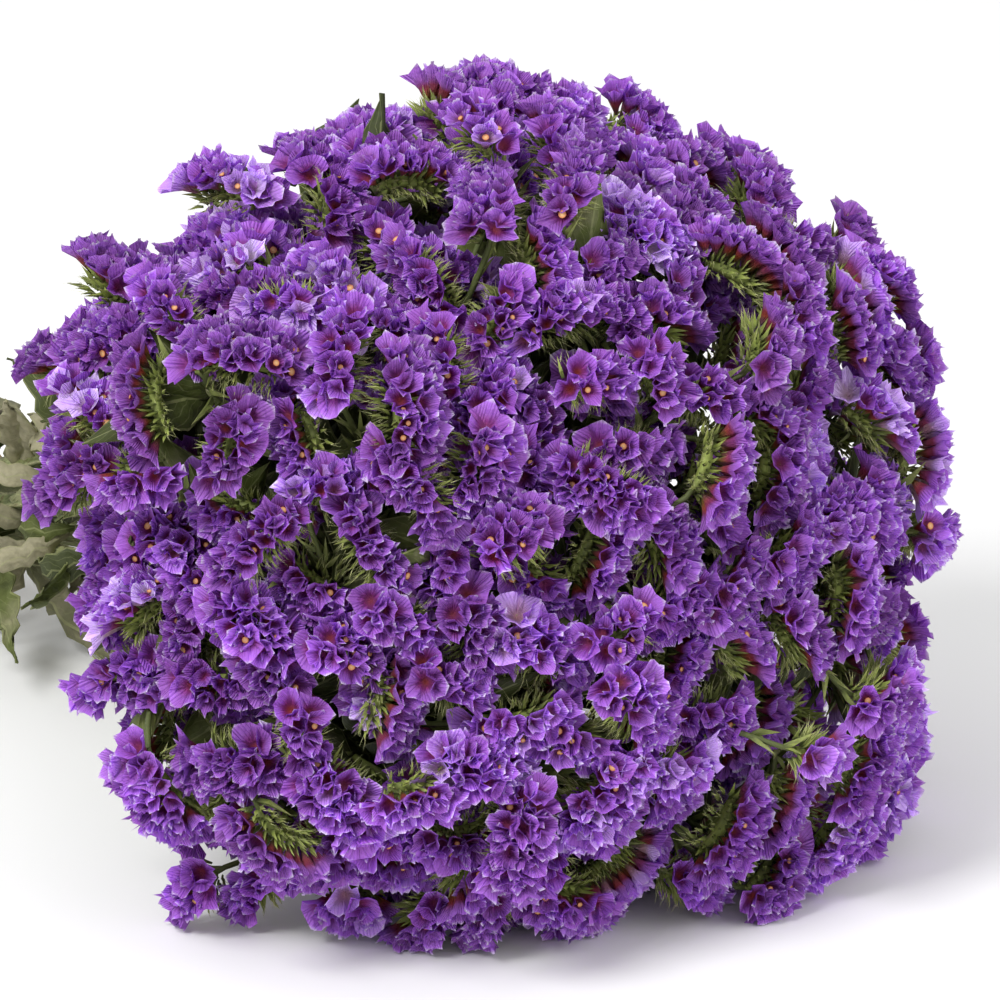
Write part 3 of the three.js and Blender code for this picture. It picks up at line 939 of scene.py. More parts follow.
def hair_shape():
    """A stiff hair, a unit long, along +Z."""
    new_piece_starts()
    bpy.ops.mesh.primitive_cone_add(vertices=3, radius1=1, radius2=0, depth=1, location=(0, 0, 0.5))
    bpy.ops.object.transform_apply(location=True)
    return kept_shape(bpy.context.object, lambda point, face: point[2])


def leaf_shape(number, columns, rows, length, width, hook=0.0):
    """A dried, toothed leaf that grows along +Z from the origin, arches to +Y and folds at its midrib."""
    new_piece_starts()
    bpy.ops.mesh.primitive_grid_add(
        x_subdivisions=columns, y_subdivisions=rows, size=1,
        location=(0, 0, 0.5), rotation=(math.pi / 2, 0, 0),
    )
    bpy.ops.object.transform_apply(location=True, rotation=True)
    obj = bpy.context.object
    draw = seeded(1700 + number)
    curl = 0.35 + 0.5 * draw()
    bpy.ops.object.mode_set(mode="EDIT")
    bpy.ops.mesh.select_mode(type="VERT")
    for level in np.linspace(0, 1, rows + 1):
        on_level = lambda co: abs(co.z - level) < 0.01
        full = width * (0.25 + 0.95 * math.sin(math.pi * min(level * 1.08, 1)) ** 0.8) * (1 - level**6)
        full = max(full * (0.82 + 0.36 * draw()), 0.0005)
        select_points(on_level)
        bpy.ops.transform.resize(value=(full, 1, 1), center_override=(0, 0, level))
        select_points(lambda co: on_level(co) and abs(co.x) < full / 8)
        bpy.ops.transform.translate(value=(0, -0.22 * full, 0))
        select_points(on_level)
        bpy.ops.transform.translate(value=(0.07 * length * (draw() - 0.5), curl * level**2 * length * 0.5, 0))
    bpy.ops.mesh.select_all(action="SELECT")
    bpy.ops.transform.resize(value=(1, 1, length), center_override=(0, 0, 0))
    bpy.ops.transform.vertex_random(offset=0.11 * width, seed=number + 1, wait_for_input=False)
    bpy.ops.object.mode_set(mode="OBJECT")
    if hook:
        bpy.ops.object.modifier_add(type="SIMPLE_DEFORM")
        obj.modifiers[-1].deform_method = "BEND"
        obj.modifiers[-1].deform_axis = "X"
        obj.modifiers[-1].angle = hook
        bpy.ops.object.modifier_apply(modifier=obj.modifiers[-1].name)
    bpy.ops.object.modifier_add(type="SOLIDIFY")
    obj.modifiers[-1].thickness = 0.0005
    bpy.ops.object.modifier_apply(modifier=obj.modifiers[-1].name)
    bpy.ops.object.shade_smooth()
    shape = kept_shape(obj, lambda point, face: 0)
    place = shape["corners"] % ((columns + 1) * (rows + 1))
    shape["uv"] = np.stack([place % (columns + 1) / columns, place // (columns + 1) / rows], axis=1)
    return shape


# ---------------------------------------------------------------- materials

BROWN = (0.090, 0.045, 0.015)  # of flecks and aged cuts
ORANGE = (0.5, 0.13, 0.04)  # of a corolla's edge


def new_material(name):
    """A node material with its tree and its Principled shader."""
    material = bpy.data.materials.new(name)
    material.use_nodes = True
    tree = material.node_tree
    shader = tree.nodes["Principled BSDF"]
    return material, tree, shader


def fill(tree, node, inputs):
    """Sets each of a node's inputs to a value, or joins it to a socket."""
    for key, value in dict(inputs).items():
        if isinstance(value, bpy.types.NodeSocket):
            tree.links.new(value, node.inputs[key])
        else:
            node.inputs[key].default_value = value


def add(tree, kind, inputs=(), **settings):
    """A node with its settings and its inputs."""
    node = tree.nodes.new(kind)
    for key, value in settings.items():
        setattr(node, key, value)
    fill(tree, node, inputs)
    return node


def light_through(tree, shader, body, normal, share):
    """Mixes in the light that comes through thin tissue."""
    through = add(tree, "ShaderNodeBsdfTranslucent", {"Color": body, "Normal": normal}).outputs[0]
    mix = add(tree, "ShaderNodeMixShader", {0: share, 1: shader.outputs[0], 2: through}).outputs[0]
    fill(tree, tree.nodes["Material Output"], {"Surface": mix})


def rgba(value):
    """A colour with its alpha, or a socket as it is."""
    return value if isinstance(value, bpy.types.NodeSocket) else (*value, 1.0)


def maths(tree, operation, a, b=0.0, clamp=False):
    """A Math node's result."""
    return add(tree, "ShaderNodeMath", {0: a, 1: b}, operation=operation, use_clamp=clamp).outputs[0]


def mixed(tree, share, a, b, blend="MIX"):
    """A mix of two colours."""
    inputs = {0: share, 6: rgba(a), 7: rgba(b)}
    return add(tree, "ShaderNodeMix", inputs, data_type="RGBA", blend_type=blend).outputs[2]


def ramp(tree, value, stops):
    """A colour ramp with (place, colour) stops."""
    node = add(tree, "ShaderNodeValToRGB", {0: value})
    elements = node.color_ramp.elements
    while len(elements) < len(stops):
        elements.new(1.0)
    for element, (place, colour) in zip(elements, stops):
        element.position = place
        element.color = (*colour, 1.0)
    return node.outputs[0]


def noise(tree, coordinates, scale, detail=3.0):
    """A noise texture's value."""
    return add(
        tree, "ShaderNodeTexNoise", {"Vector": coordinates, "Scale": scale, "Detail": detail}
    ).outputs["Fac"]


def bumped(tree, height, strength, distance):
    """A normal with the height's relief."""
    return add(
        tree, "ShaderNodeBump", {"Height": height, "Strength": strength, "Distance": distance}
    ).outputs[0]


def shade(colour, factor):
    """A colour made lighter or darker."""
    return tuple(min(1.0, c * factor) for c in colour)


def blend_colours(a, b, share):
    """A colour part of the way from a to b."""
    return tuple(x + (y - x) * share for x, y in zip(a, b))


def new_group(name, inputs, outputs):
    """A node group with its named sockets, and its first and last nodes."""
    tree = bpy.data.node_groups.new(name, "ShaderNodeTree")
    for way, sockets in (("INPUT", inputs), ("OUTPUT", outputs)):
        for label, kind in sockets.items():
            tree.interface.new_socket(label, in_out=way, socket_type=f"NodeSocket{kind}")
    return tree, tree.nodes.new("NodeGroupInput"), tree.nodes.new("NodeGroupOutput")


def drying_group():
    """A fresh colour that turns into a dry one in patches."""
    if "drying patches" in bpy.data.node_groups:
        return bpy.data.node_groups["drying patches"]
    tree, start, end = new_group(
        "drying patches",
        {"Vector": "Vector", "Scale": "Float", "Fresh": "Color", "Dry": "Color", "Dryness": "Float"},
        {"Color": "Color"},
    )
    patches = noise(tree, start.outputs["Vector"], start.outputs["Scale"], 3.0)
    centred = maths(tree, "MULTIPLY", maths(tree, "SUBTRACT", patches, 0.5), 2.4)
    share = maths(tree, "ADD", centred, start.outputs["Dryness"], clamp=True)
    colour = mixed(tree, share, start.outputs["Fresh"], start.outputs["Dry"])
    tree.links.new(colour, end.inputs["Color"])
    return tree


def grain_group():
    """The fine grain of dry tissue and the relief that it gives, over a coarser pattern."""
    if "dry grain" in bpy.data.node_groups:
        return bpy.data.node_groups["dry grain"]
    tree, start, end = new_group(
        "dry grain",
        {"Vector": "Vector", "Scale": "Float", "Pattern": "Float", "Strength": "Float", "Distance": "Float"},
        {"Grain": "Float", "Normal": "Vector"},
    )
    grain = noise(tree, start.outputs["Vector"], start.outputs["Scale"], 2.0)
    height = maths(tree, "ADD", grain, start.outputs["Pattern"])
    normal = bumped(tree, height, start.outputs["Strength"], start.outputs["Distance"])
    tree.links.new(grain, end.inputs["Grain"])
    tree.links.new(normal, end.inputs["Normal"])
    return tree


def dried(tree, vector, scale, fresh, dry, dryness):
    """The drying patches, placed in a material: their colour."""
    inputs = {"Vector": vector, "Scale": scale, "Fresh": rgba(fresh), "Dry": rgba(dry), "Dryness": dryness}
    return add(tree, "ShaderNodeGroup", inputs, node_tree=drying_group()).outputs["Color"]


def grained(tree, vector, scale, strength, distance, pattern=0.0):
    """The dry grain, placed in a material: its value and its normal."""
    inputs = {
        "Vector": vector, "Scale": scale, "Pattern": pattern, "Strength": strength, "Distance": distance
    }
    node = add(tree, "ShaderNodeGroup", inputs, node_tree=grain_group())
    return node.outputs["Grain"], node.outputs["Normal"]


def lengthwise(tree, u, v, tone):
    """Coordinates that draw a texture out along a piece and differ from copy to copy."""
    return add(tree, "ShaderNodeCombineXYZ", {0: u, 1: maths(tree, "MULTIPLY", v, 0.12), 2: tone}).outputs[0]


def place_nodes(tree):
    """Object coordinates, the piece's u and v, and the tone of the copy."""
    coordinates = add(tree, "ShaderNodeTexCoord").outputs["Object"]
    uv = add(tree, "ShaderNodeUVMap", uv_map="along").outputs[0]
    split = add(tree, "ShaderNodeSeparateXYZ", {0: uv})
    tone = add(tree, "ShaderNodeAttribute", attribute_name="tone").outputs["Fac"]
    return coordinates, split.outputs[0], split.outputs[1], tone


def calyx_material(colours):
    """Papery violet, veined, paler at the rim and red in the throat, with light coming through."""
    material, tree, shader = new_material("calyx paper")
    coordinates, u, v, tone = place_nodes(tree)
    violet, lilac, throat = tuple(colours.violet), tuple(colours.lilac), tuple(colours.throat)
    green, plum, ember = tuple(colours.green), tuple(colours.plum), tuple(colours.ember)
    half = maths(tree, "MULTIPLY", v, 0.5)
    body = ramp(tree, half, [
        (0.00, green),
        (0.12, blend_colours(green, ember, 0.6)),
        (0.19, ember),
        (0.25, blend_colours(ember, throat, 0.7)),
        (0.31, blend_colours(throat, violet, 0.75)),
        (0.38, violet),
        (0.455, shade(violet, 1.1)),
        (0.492, lilac),
        (0.508, lilac),
        (0.545, shade(violet, 1.1)),
        (0.63, blend_colours(violet, plum, 0.35)),
        (0.70, blend_colours(plum, throat, 0.5)),
        (0.77, blend_colours(throat, ember, 0.6)),
    ])
    mottle = noise(tree, coordinates, 130.0, 1.0)
    redder = maths(tree, "MULTIPLY", maths(tree, "SUBTRACT", mottle, 0.4), 2.4, clamp=True)
    body = mixed(tree, maths(tree, "MULTIPLY", redder, 0.6), body, plum)
    strands = lengthwise(tree, u, v, tone)
    veins = add(tree, "ShaderNodeTexWave", {
        "Vector": strands, "Scale": 11.0, "Distortion": 3.0, "Detail": 0.0, "Detail Scale": 2.0,
    }).outputs["Fac"]
    veined = maths(tree, "MULTIPLY", maths(tree, "MULTIPLY", veins, mottle), 0.34)
    body = mixed(tree, veined, body, shade(violet, 0.45))
    pale = maths(tree, "MULTIPLY", maths(tree, "SUBTRACT", tone, 0.69), 3.0, clamp=True)
    body = mixed(tree, pale, body, lilac)
    bright = maths(tree, "ADD", maths(tree, "MULTIPLY", tone, 0.76), 0.835)
    lit = add(tree, "ShaderNodeCombineXYZ", {0: bright, 1: bright, 2: bright}).outputs[0]
    body = mixed(tree, 1.0, body, lit, "MULTIPLY")
    crinkle, normal = grained(tree, coordinates, 700.0, 0.75, 0.0008, maths(tree, "MULTIPLY", veins, 0.55))
    rough = maths(tree, "ADD", maths(tree, "MULTIPLY", crinkle, 0.25), 0.42)
    fill(tree, shader, {"Base Color": body, "Roughness": rough, "Normal": normal})
    light_through(tree, shader, body, normal, 0.42)
    return material


def corolla_material(colours):
    """Dry cream with an orange edge."""
    material, tree, shader = new_material("dried corolla")
    _, _, v, _ = place_nodes(tree)
    cream = tuple(colours.cream)
    body = ramp(tree, v, [(0.0, shade(cream, 1.1)), (0.5, shade(cream, 0.85)), (1.0, ORANGE)])
    fill(tree, shader, {"Base Color": body, "Roughness": 0.7})
    return material


def green_material(colours):
    """Bracts: olive at the root, fresh green further up, with reddish and dry tips, and painted shade in
    lengthwise bands between their hairs.
    """
    material, tree, shader = new_material("bract green")
    coordinates, u, v, tone = place_nodes(tree)
    green, olive, straw = tuple(colours.green), tuple(colours.olive), tuple(colours.straw)
    body = ramp(tree, v, [
        (0.0, olive),
        (0.35, blend_colours(olive, green, 0.7)),
        (0.75, green),
        (0.93, blend_colours(green, tuple(colours.throat), 0.25)),
        (1.0, straw),
    ])
    age = maths(tree, "SUBTRACT", maths(tree, "MULTIPLY", tone, 0.7), 0.15)
    body = dried(tree, coordinates, 90.0, body, shade(olive, 1.2), age)
    bands = noise(tree, lengthwise(tree, u, v, tone), 9.0, 1.0)
    # painted shade: dark olive bands run along each bract where shade would fall in the gaps between its hairs
    painted_shade_between_hairs = maths(tree, "MULTIPLY", maths(tree, "SUBTRACT", bands, 0.42), 4.0, clamp=True)
    body = mixed(tree, maths(tree, "MULTIPLY", painted_shade_between_hairs, 0.6), body, shade(olive, 0.7))
    streak, normal = grained(tree, coordinates, 900.0, 0.5, 0.0004)
    dry = maths(tree, "MULTIPLY", streak, maths(tree, "MULTIPLY", v, 0.7, clamp=True))
    body = mixed(tree, dry, body, straw)
    fill(tree, shader, {"Base Color": body, "Roughness": 0.68, "Normal": normal})
    return material


def stem_material(colours):
    """Dry olive stems, streaked lengthwise, with straw-coloured edges on their wings and brown flecks."""
    material, tree, shader = new_material("winged stem")
    coordinates, _, v, tone = place_nodes(tree)
    olive, straw = tuple(colours.olive), tuple(colours.straw)
    body = dried(tree, coordinates, 45.0, shade(olive, 1.8), blend_colours(olive, straw, 0.5), tone)
    edge = maths(tree, "MULTIPLY", maths(tree, "SUBTRACT", v, 0.72), 2.6, clamp=True)
    body = mixed(tree, edge, body, blend_colours(straw, tuple(colours.beige), 0.5))
    stretched = add(tree, "ShaderNodeMapping", {"Vector": coordinates, "Scale": (0.1, 1, 1)}).outputs[0]
    streaks, normal = grained(tree, stretched, 1100.0, 0.9, 0.0008)
    darker = maths(tree, "MULTIPLY", maths(tree, "SUBTRACT", streaks, 0.3), 1.8, clamp=True)
    body = mixed(tree, maths(tree, "MULTIPLY", darker, 0.75), body, shade(olive, 0.8))
    flecks = maths(tree, "GREATER_THAN", noise(tree, coordinates, 420.0), 0.62)
    body = mixed(tree, maths(tree, "MULTIPLY", flecks, 0.55), body, BROWN)
    fill(tree, shader, {"Base Color": body, "Roughness": 0.62, "Normal": normal})
    return material


def pith_material(colours):
    """The cut ends: pale dry pith, brown where it has aged."""
    material, tree, shader = new_material("cut pith")
    coordinates, _, v, _ = place_nodes(tree)
    body = dried(tree, coordinates, 500.0, colours.beige[:], BROWN, maths(tree, "SUBTRACT", v, 0.85))
    _, normal = grained(tree, coordinates, 2200.0, 0.9, 0.0005)
    fill(tree, shader, {"Base Color": body, "Roughness": 0.8, "Normal": normal})
    return material


def leaf_material(colours):
    """Crisp dried leaves, from dark green to beige, with a pale midrib, side veins and pale edges."""
    material, tree, shader = new_material("dried leaf")
    coordinates, u, v, tone = place_nodes(tree)
    green, olive, straw = tuple(colours.green), tuple(colours.olive), tuple(colours.straw)
    beige = tuple(colours.beige)
    fresh = ramp(tree, tone, [
        (0.0, shade(olive, 0.6)),
        (0.3, blend_colours(olive, green, 0.3)),
        (0.6, blend_colours(olive, beige, 0.35)),
        (1.0, beige),
    ])
    dryness = maths(tree, "SUBTRACT", tone, 0.3)
    body = dried(tree, coordinates, 60.0, fresh, blend_colours(beige, olive, 0.2), dryness)
    off_rib = maths(tree, "ABSOLUTE", maths(tree, "SUBTRACT", u, 0.5))
    wander = noise(tree, coordinates, 240.0, 1.0)
    slanted = maths(tree, "SUBTRACT", maths(tree, "MULTIPLY", v, 9.0), maths(tree, "MULTIPLY", off_rib, 5.0))
    side_veins = maths(tree, "FRACT", maths(tree, "ADD", slanted, wander))
    vein = maths(tree, "MULTIPLY", maths(tree, "GREATER_THAN", side_veins, 0.87), 0.14)
    rib = maths(tree, "MULTIPLY", maths(tree, "LESS_THAN", off_rib, 0.035), 0.34)
    edge = maths(tree, "MULTIPLY", maths(tree, "GREATER_THAN", off_rib, 0.465), 0.35)
    lines = maths(tree, "ADD", maths(tree, "MAXIMUM", vein, rib), edge, clamp=True)
    body = mixed(tree, lines, body, straw)
    grain, normal = grained(tree, coordinates, 420.0, 0.7, 0.0006, maths(tree, "MULTIPLY", lines, 0.5))
    body = mixed(tree, maths(tree, "MULTIPLY", grain, 0.55), body, shade(olive, 0.8))
    fill(tree, shader, {"Base Color": body, "Roughness": 0.66, "Normal": normal})
    light_through(tree, shader, body, normal, 0.25)
    return material


def twine_material(colours):
    """Jute with its fibre grain, and painted shade in the hollows between its strands."""
    material, tree, shader = new_material("jute twine")
    coordinates, _, _, _ = place_nodes(tree)
    fibre_grain_and_shade, normal = grained(tree, coordinates, 1800.0, 0.7, 0.0004)
    # partly the jute's own uneven tone, partly painted shade: the grain that gives the relief also darkens the
    # twine where that relief sinks between the strands
    body = mixed(tree, fibre_grain_and_shade, shade(tuple(colours.twine), 0.45), shade(tuple(colours.twine), 1.35))
    fill(tree, shader, {"Base Color": body, "Roughness": 0.85, "Normal": normal, "Sheen Weight": 0.2})
    return material


def hair_material(colours):
    """Pale hairs that catch the light."""
    material, tree, shader = new_material("pale hair")
    _, _, v, tone = place_nodes(tree)
    body = mixed(tree, tone, shade(tuple(colours.straw), 0.75), shade(tuple(colours.straw), 1.25))
    fill(tree, shader, {"Base Color": body, "Roughness": 0.55})
    return material


def floor_material(colours):
    """A plain pale floor."""
    material, tree, shader = new_material("pale floor")
    fill(tree, shader, {"Base Color": rgba(colours.floor), "Roughness": 0.9})
    return material


# ---------------------------------------------------------------- operators

COROLLA_SHARE = 0.2  # of the calyces, the share that still hold their corolla
COMB_TONE = 0.35  # how much of a calyx's tone it has from its comb
CLUSTER_TONE = 0.25  # and from its cluster
BRACT_PLACES = (-2.6, -2.0, -1.4, -0.9, 0.9, 1.4, 2.0, 2.6)  # across a comb, in half widths
INNER_BRACT_PLACES = (-1.6, -1.0, 1.0, 1.6)
BRACT_SINK = (0.0005, 0.0042)  # below the ridge, from the innermost bracts to the outermost
HAIRS_EACH = 4  # on a lowest bract of an outer comb
HAIR_RADIUS = 0.00008
BLADES_EACH = 7  # leafy bracts on a comb's stalk
BLADE_SCALE = (1.2, 2.3)
TWIG_LEAVES = 11
TWIG_LEAF_LENGTH = 0.034
TWIG_LEAF_WIDTH = 0.0100
TWIG_LEAF_SIZE = (0.55, 1.35)
FLESH_SECTION = (1, 1, 1, 1, 1)  # of stalks and of the flesh under a comb, as five points
WING_SECTION = (1, 0.62, 0.42, 0.42, 0.62, 1, 0.62, 0.42, 0.42, 0.62, 1, 0.62, 0.42, 0.42, 0.62)
STEM_STEPS = 46
TWIG_STEPS = 10
TWIG_RADII = (0.0030, 0.0021)  # from a fork to the combs
STALK_STEPS = 7
STALK_RADII = (0.0011, 0.0009)  # from a twig to a comb
FIBRE_RADIUS = 0.00007
LEAF_VARIANTS = 4
SMALL_LEAF_PLACES = (0.55, 0.72, 0.84)
CORE_LEAVES = 20  # old leaves round the fork of each stem
CORE_LEAF_SCALE = (1.35, 1.1, 1.25)
COLLAR_LEAVES = 7  # curled leaves on each outer stem, where the stems close up behind the head
COLLAR_WIDTH = 0.0095
COLLAR_BACK = (0.185, 0.275)
HOOKS = (70, 150)  # degrees through which they curl
FIBRES = 260
PLY_PITCH = 0.0075


class STATICE_OT_calyces(bpy.types.Operator):
    """Models the combs of violet calyces"""

    bl_idname = "statice.calyces"
    bl_label = "Calyx Combs"

    def execute(self, context):
        sizes, colours = context.scene.statice_sizes, context.scene.statice_colours
        shapes = [calyx_shape(k, sizes) for k in range(CALYX_VARIANTS)]
        corolla = corolla_shape(sizes)
        materials = [calyx_material(colours), corolla_material(colours)]
        combs = comb_places(sizes)
        for cluster in CLUSTERS:
            own = [comb for comb in combs if comb["cluster"] is cluster]
            self.cluster(cluster, own, shapes, corolla, materials, sizes)
        return {"FINISHED"}

    def cluster(self, cluster, combs, shapes, corolla, materials, sizes):
        """The calyces of one cluster, as one piece."""
        draw = seeded(700 + cluster["index"])
        found = [florets_of(comb, sizes, draw) for comb in combs]
        roots, aims, opens = (np.concatenate(values) for values in zip(*found))
        axes = turned_to(aims, any_fronts(aims, draw))
        lengths = np.array([0.86 + 0.26 * draw() for _ in roots])
        scales = np.stack([opens, opens, lengths], axis=1)
        of_comb = np.repeat([comb["tone"] for comb in combs], [len(values[0]) for values in found])
        own = np.array([draw() for _ in roots])
        shared = seeded(2100 + cluster["index"])() * CLUSTER_TONE
        tones = shared + of_comb * COMB_TONE + own * (1 - COMB_TONE - CLUSTER_TONE)
        kinds = np.array([int(draw() * CALYX_VARIANTS) for _ in roots])
        parts = []
        for kind, shape in enumerate(shapes):
            own = kinds == kind
            if own.any():
                parts.append(copies(shape, roots[own], axes[own], scales[own], tones[own]))
        with_corolla = np.array([draw() < COROLLA_SHARE for _ in roots])
        if with_corolla.any():
            own = with_corolla
            parts.append(copies(corolla, roots[own], axes[own], scales[own], tones[own], material=1))
        piece = joined(f"calyces_{label(cluster)}", above_floor(parts), materials)
        placed(piece, "calyx", f"flowers_{label(cluster)}")


class STATICE_OT_bracts(bpy.types.Operator):
    """Models the green bracts and hairs that the calyces stand in"""

    bl_idname = "statice.bracts"
    bl_label = "Hairy Bracts"

    def execute(self, context):
        sizes, colours = context.scene.statice_sizes, context.scene.statice_colours
        bract, hair, section = bract_shape(sizes), hair_shape(), section_of(FLESH_SECTION)
        materials = [green_material(colours), hair_material(colours)]
        combs = comb_places(sizes)
        for stem in range(len(SPRAYS)):
            own = [comb for comb in combs if comb["cluster"]["stem"] == stem]
            self.stem(stem, own, bract, hair, section, materials, sizes)
        bpy.data.objects.remove(section)
        return {"FINISHED"}

    def stem(self, stem, combs, bract, hair, section, materials, sizes):
        """The green combs of one stem, as one piece."""
        draw = seeded(900 + stem)
        roots, aims, fronts, hairy = [], [], [], []
        bodies, stalks = [], []
        for comb in combs:
            found = self.bracts_of(comb, sizes, draw)
            roots.append(found[0])
            aims.append(found[1])
            fronts.append(found[2])
            hairy += [comb["outer"] and outside for outside in found[3]]
            under = comb["ridge"] - comb["brush"] * 0.0024
            count = len(under)
            bulge = [0.0010 + 0.0011 * math.sin(math.pi * (k + 0.5) / count) for k in range(count)]
            bodies.append((under, bulge))
            stalks.append(self.stalk(comb, under))
        roots, aims, fronts = np.vstack(roots), np.vstack(aims), np.vstack(fronts)
        axes = turned_to(aims, fronts)
        scales = np.array([0.75 + 0.5 * draw() for _ in roots])
        tones = np.array([draw() for _ in roots])
        parts = [
            swept(bodies, section),
            swept(stalks, section, v=0.05),
            copies(bract, roots, axes, scales, tones),
        ]
        parts.append(self.blades(stalks, bract, draw))
        parts.append(self.hairs(roots[hairy], axes[hairy], scales[hairy], hair, sizes, draw))
        piece = joined(f"bracts_{stem + 1:02d}", above_floor(parts), materials)
        placed(piece, "stem", f"stem_{stem + 1:02d}")

    def bracts_of(self, comb, sizes, draw):
        """The root, aim and front of each bract of a comb, and whether it stands outside."""
        roots, aims, fronts, outside = [], [], [], []
        reach = comb["rows"] / 2
        for k in range(len(comb["ridge"])):
            ridge, brush, side, along = (comb[key][k] for key in ("ridge", "brush", "side", "along"))
            for place in BRACT_PLACES if comb["outer"] else INNER_BRACT_PLACES:
                fan = place * reach * sizes.row_fan
                aim = brush * math.cos(fan) + side * math.sin(fan)
                wobble = stray(draw)
                slip = along * sizes.row_gap * (draw() - 0.5)
                sink = between(BRACT_SINK, (abs(place) - 0.9) / 1.7)
                roots.append(ridge + side * place * 0.55 * reach * sizes.row_gap + slip - brush * sink)
                aims.append(unit(aim + wobble * 0.5))
                fronts.append(side * place + wobble * 0.2)
                outside.append(abs(place) > 1.9)
        return np.array(roots), np.array(aims), np.array(fronts), outside

    def stalk(self, comb, under):
        """A thin branch from a cluster's twig to the nearer end of a comb."""
        _, tip = twig_ends(comb["cluster"])
        near, far = sorted((under[0], under[-1]), key=lambda end: np.linalg.norm(end - tip))
        bend = (tip + near) / 2 + (comb["cluster"]["facing"] - comb["brush"][0]) * 0.003
        points = [smooth_route([tip, bend, near, far], t) for t in np.linspace(0, 0.72, STALK_STEPS)]
        return points, np.linspace(*STALK_RADII, STALK_STEPS)

    def blades(self, stalks, bract, draw):
        """The larger leafy bracts, which stand round each stalk."""
        roots, aims, scales = [], [], []
        for points, _ in stalks:
            for _ in range(BLADES_EACH):
                at = 1 + int(draw() * (len(points) - 2))
                loose = stray(draw)
                roots.append(points[at])
                aims.append(unit(unit(points[at + 1] - points[at - 1]) + unit(loose) * 0.9))
                scales.append(between(BLADE_SCALE, draw()))
        axes = turned_to(np.array(aims), any_fronts(aims, draw))
        return copies(bract, np.array(roots), axes, scales, [0.6 + 0.4 * draw() for _ in roots])

    def hairs(self, roots, axes, scales, hair, sizes, draw):
        """Stiff hairs on the outer faces of the bracts."""
        starts, ways, lengths = [], [], []
        for root, (x, y, z), scale in zip(roots, axes, scales):
            for _ in range(HAIRS_EACH):
                at = sizes.bract_length * scale * (0.1 + 0.8 * draw())
                across = y * (draw() - 0.5)
                starts.append(root + z * at + across * 0.0016)
                ways.append(unit(z + x * 0.9 * draw() + across * 1.2))
                lengths.append(sizes.hair_length * (0.6 + 0.8 * draw()))
        lengths = np.array(lengths)
        thickness = np.full(len(lengths), HAIR_RADIUS)
        frames = turned_to(np.array(ways), any_fronts(ways, draw))
        stretch = np.stack([thickness, thickness, lengths], axis=1)
        tones = np.array([draw() for _ in starts])
        return copies(hair, np.array(starts), frames, stretch, tones, material=1)


class STATICE_OT_stems(bpy.types.Operator):
    """Models the winged stems with their twigs"""

    bl_idname = "statice.stems"
    bl_label = "Winged Stems"

    def execute(self, context):
        colours = context.scene.statice_colours
        materials = [stem_material(colours), pith_material(colours)]
        section = section_of(WING_SECTION)
        for stem in range(len(SPRAYS)):
            draw = seeded(1100 + stem)
            lines = [self.main_line(stem, draw)]
            lines += [self.twig(c, draw) for c in CLUSTERS if c["stem"] == stem]
            part = swept(lines, section, tone=draw())
            ring_point = np.round(part["uv"][:, 0] * len(WING_SECTION)).astype(int)
            part["uv"][:, 1] = np.array(WING_SECTION)[ring_point]
            part["material"] = (~part["smooth"]).astype(int)
            piece = joined(f"winged_stem_{stem + 1:02d}", above_floor([part]), materials)
            self.wave(piece)
            placed(piece, "stem", f"stem_{stem + 1:02d}")
        bpy.data.objects.remove(section)
        return {"FINISHED"}

    def main_line(self, stem, draw):
        """The stem, from its cut end to its fork, with wings that widen and narrow."""
        route = stem_points(stem)
        points = [smooth_route(route, t) for t in np.linspace(0, 1, STEM_STEPS)]
        radii = [WING_REACH * (0.86 + 0.28 * draw()) for _ in points]
        return points, radii

    def twig(self, cluster, draw):
        """A twig, bowed a little, that tapers to its combs."""
        root, tip = twig_ends(cluster)
        bow = (root + tip) / 2 + unit(np.cross(tip - root, AHEAD)) * 0.006 * (draw() - 0.5)
        points = [smooth_route([root, bow, tip], t) for t in np.linspace(0, 1, TWIG_STEPS)]
        radii = [between(TWIG_RADII, t) * (0.85 + 0.3 * draw()) for t in np.linspace(0, 1, TWIG_STEPS)]
        return points, radii

    def wave(self, piece):
        """Crinkles the wings, as drying does."""
        new_piece_starts()
        piece.select_set(True)
        bpy.context.view_layer.objects.active = piece
        texture = bpy.data.textures.new("drying", type="CLOUDS")
        texture.noise_scale = 0.006
        bpy.ops.object.modifier_add(type="DISPLACE")
        modifier = piece.modifiers[-1]
        modifier.texture = texture
        modifier.texture_coords = "LOCAL"
        modifier.strength = 0.0012
        bpy.ops.object.modifier_apply(modifier=modifier.name)


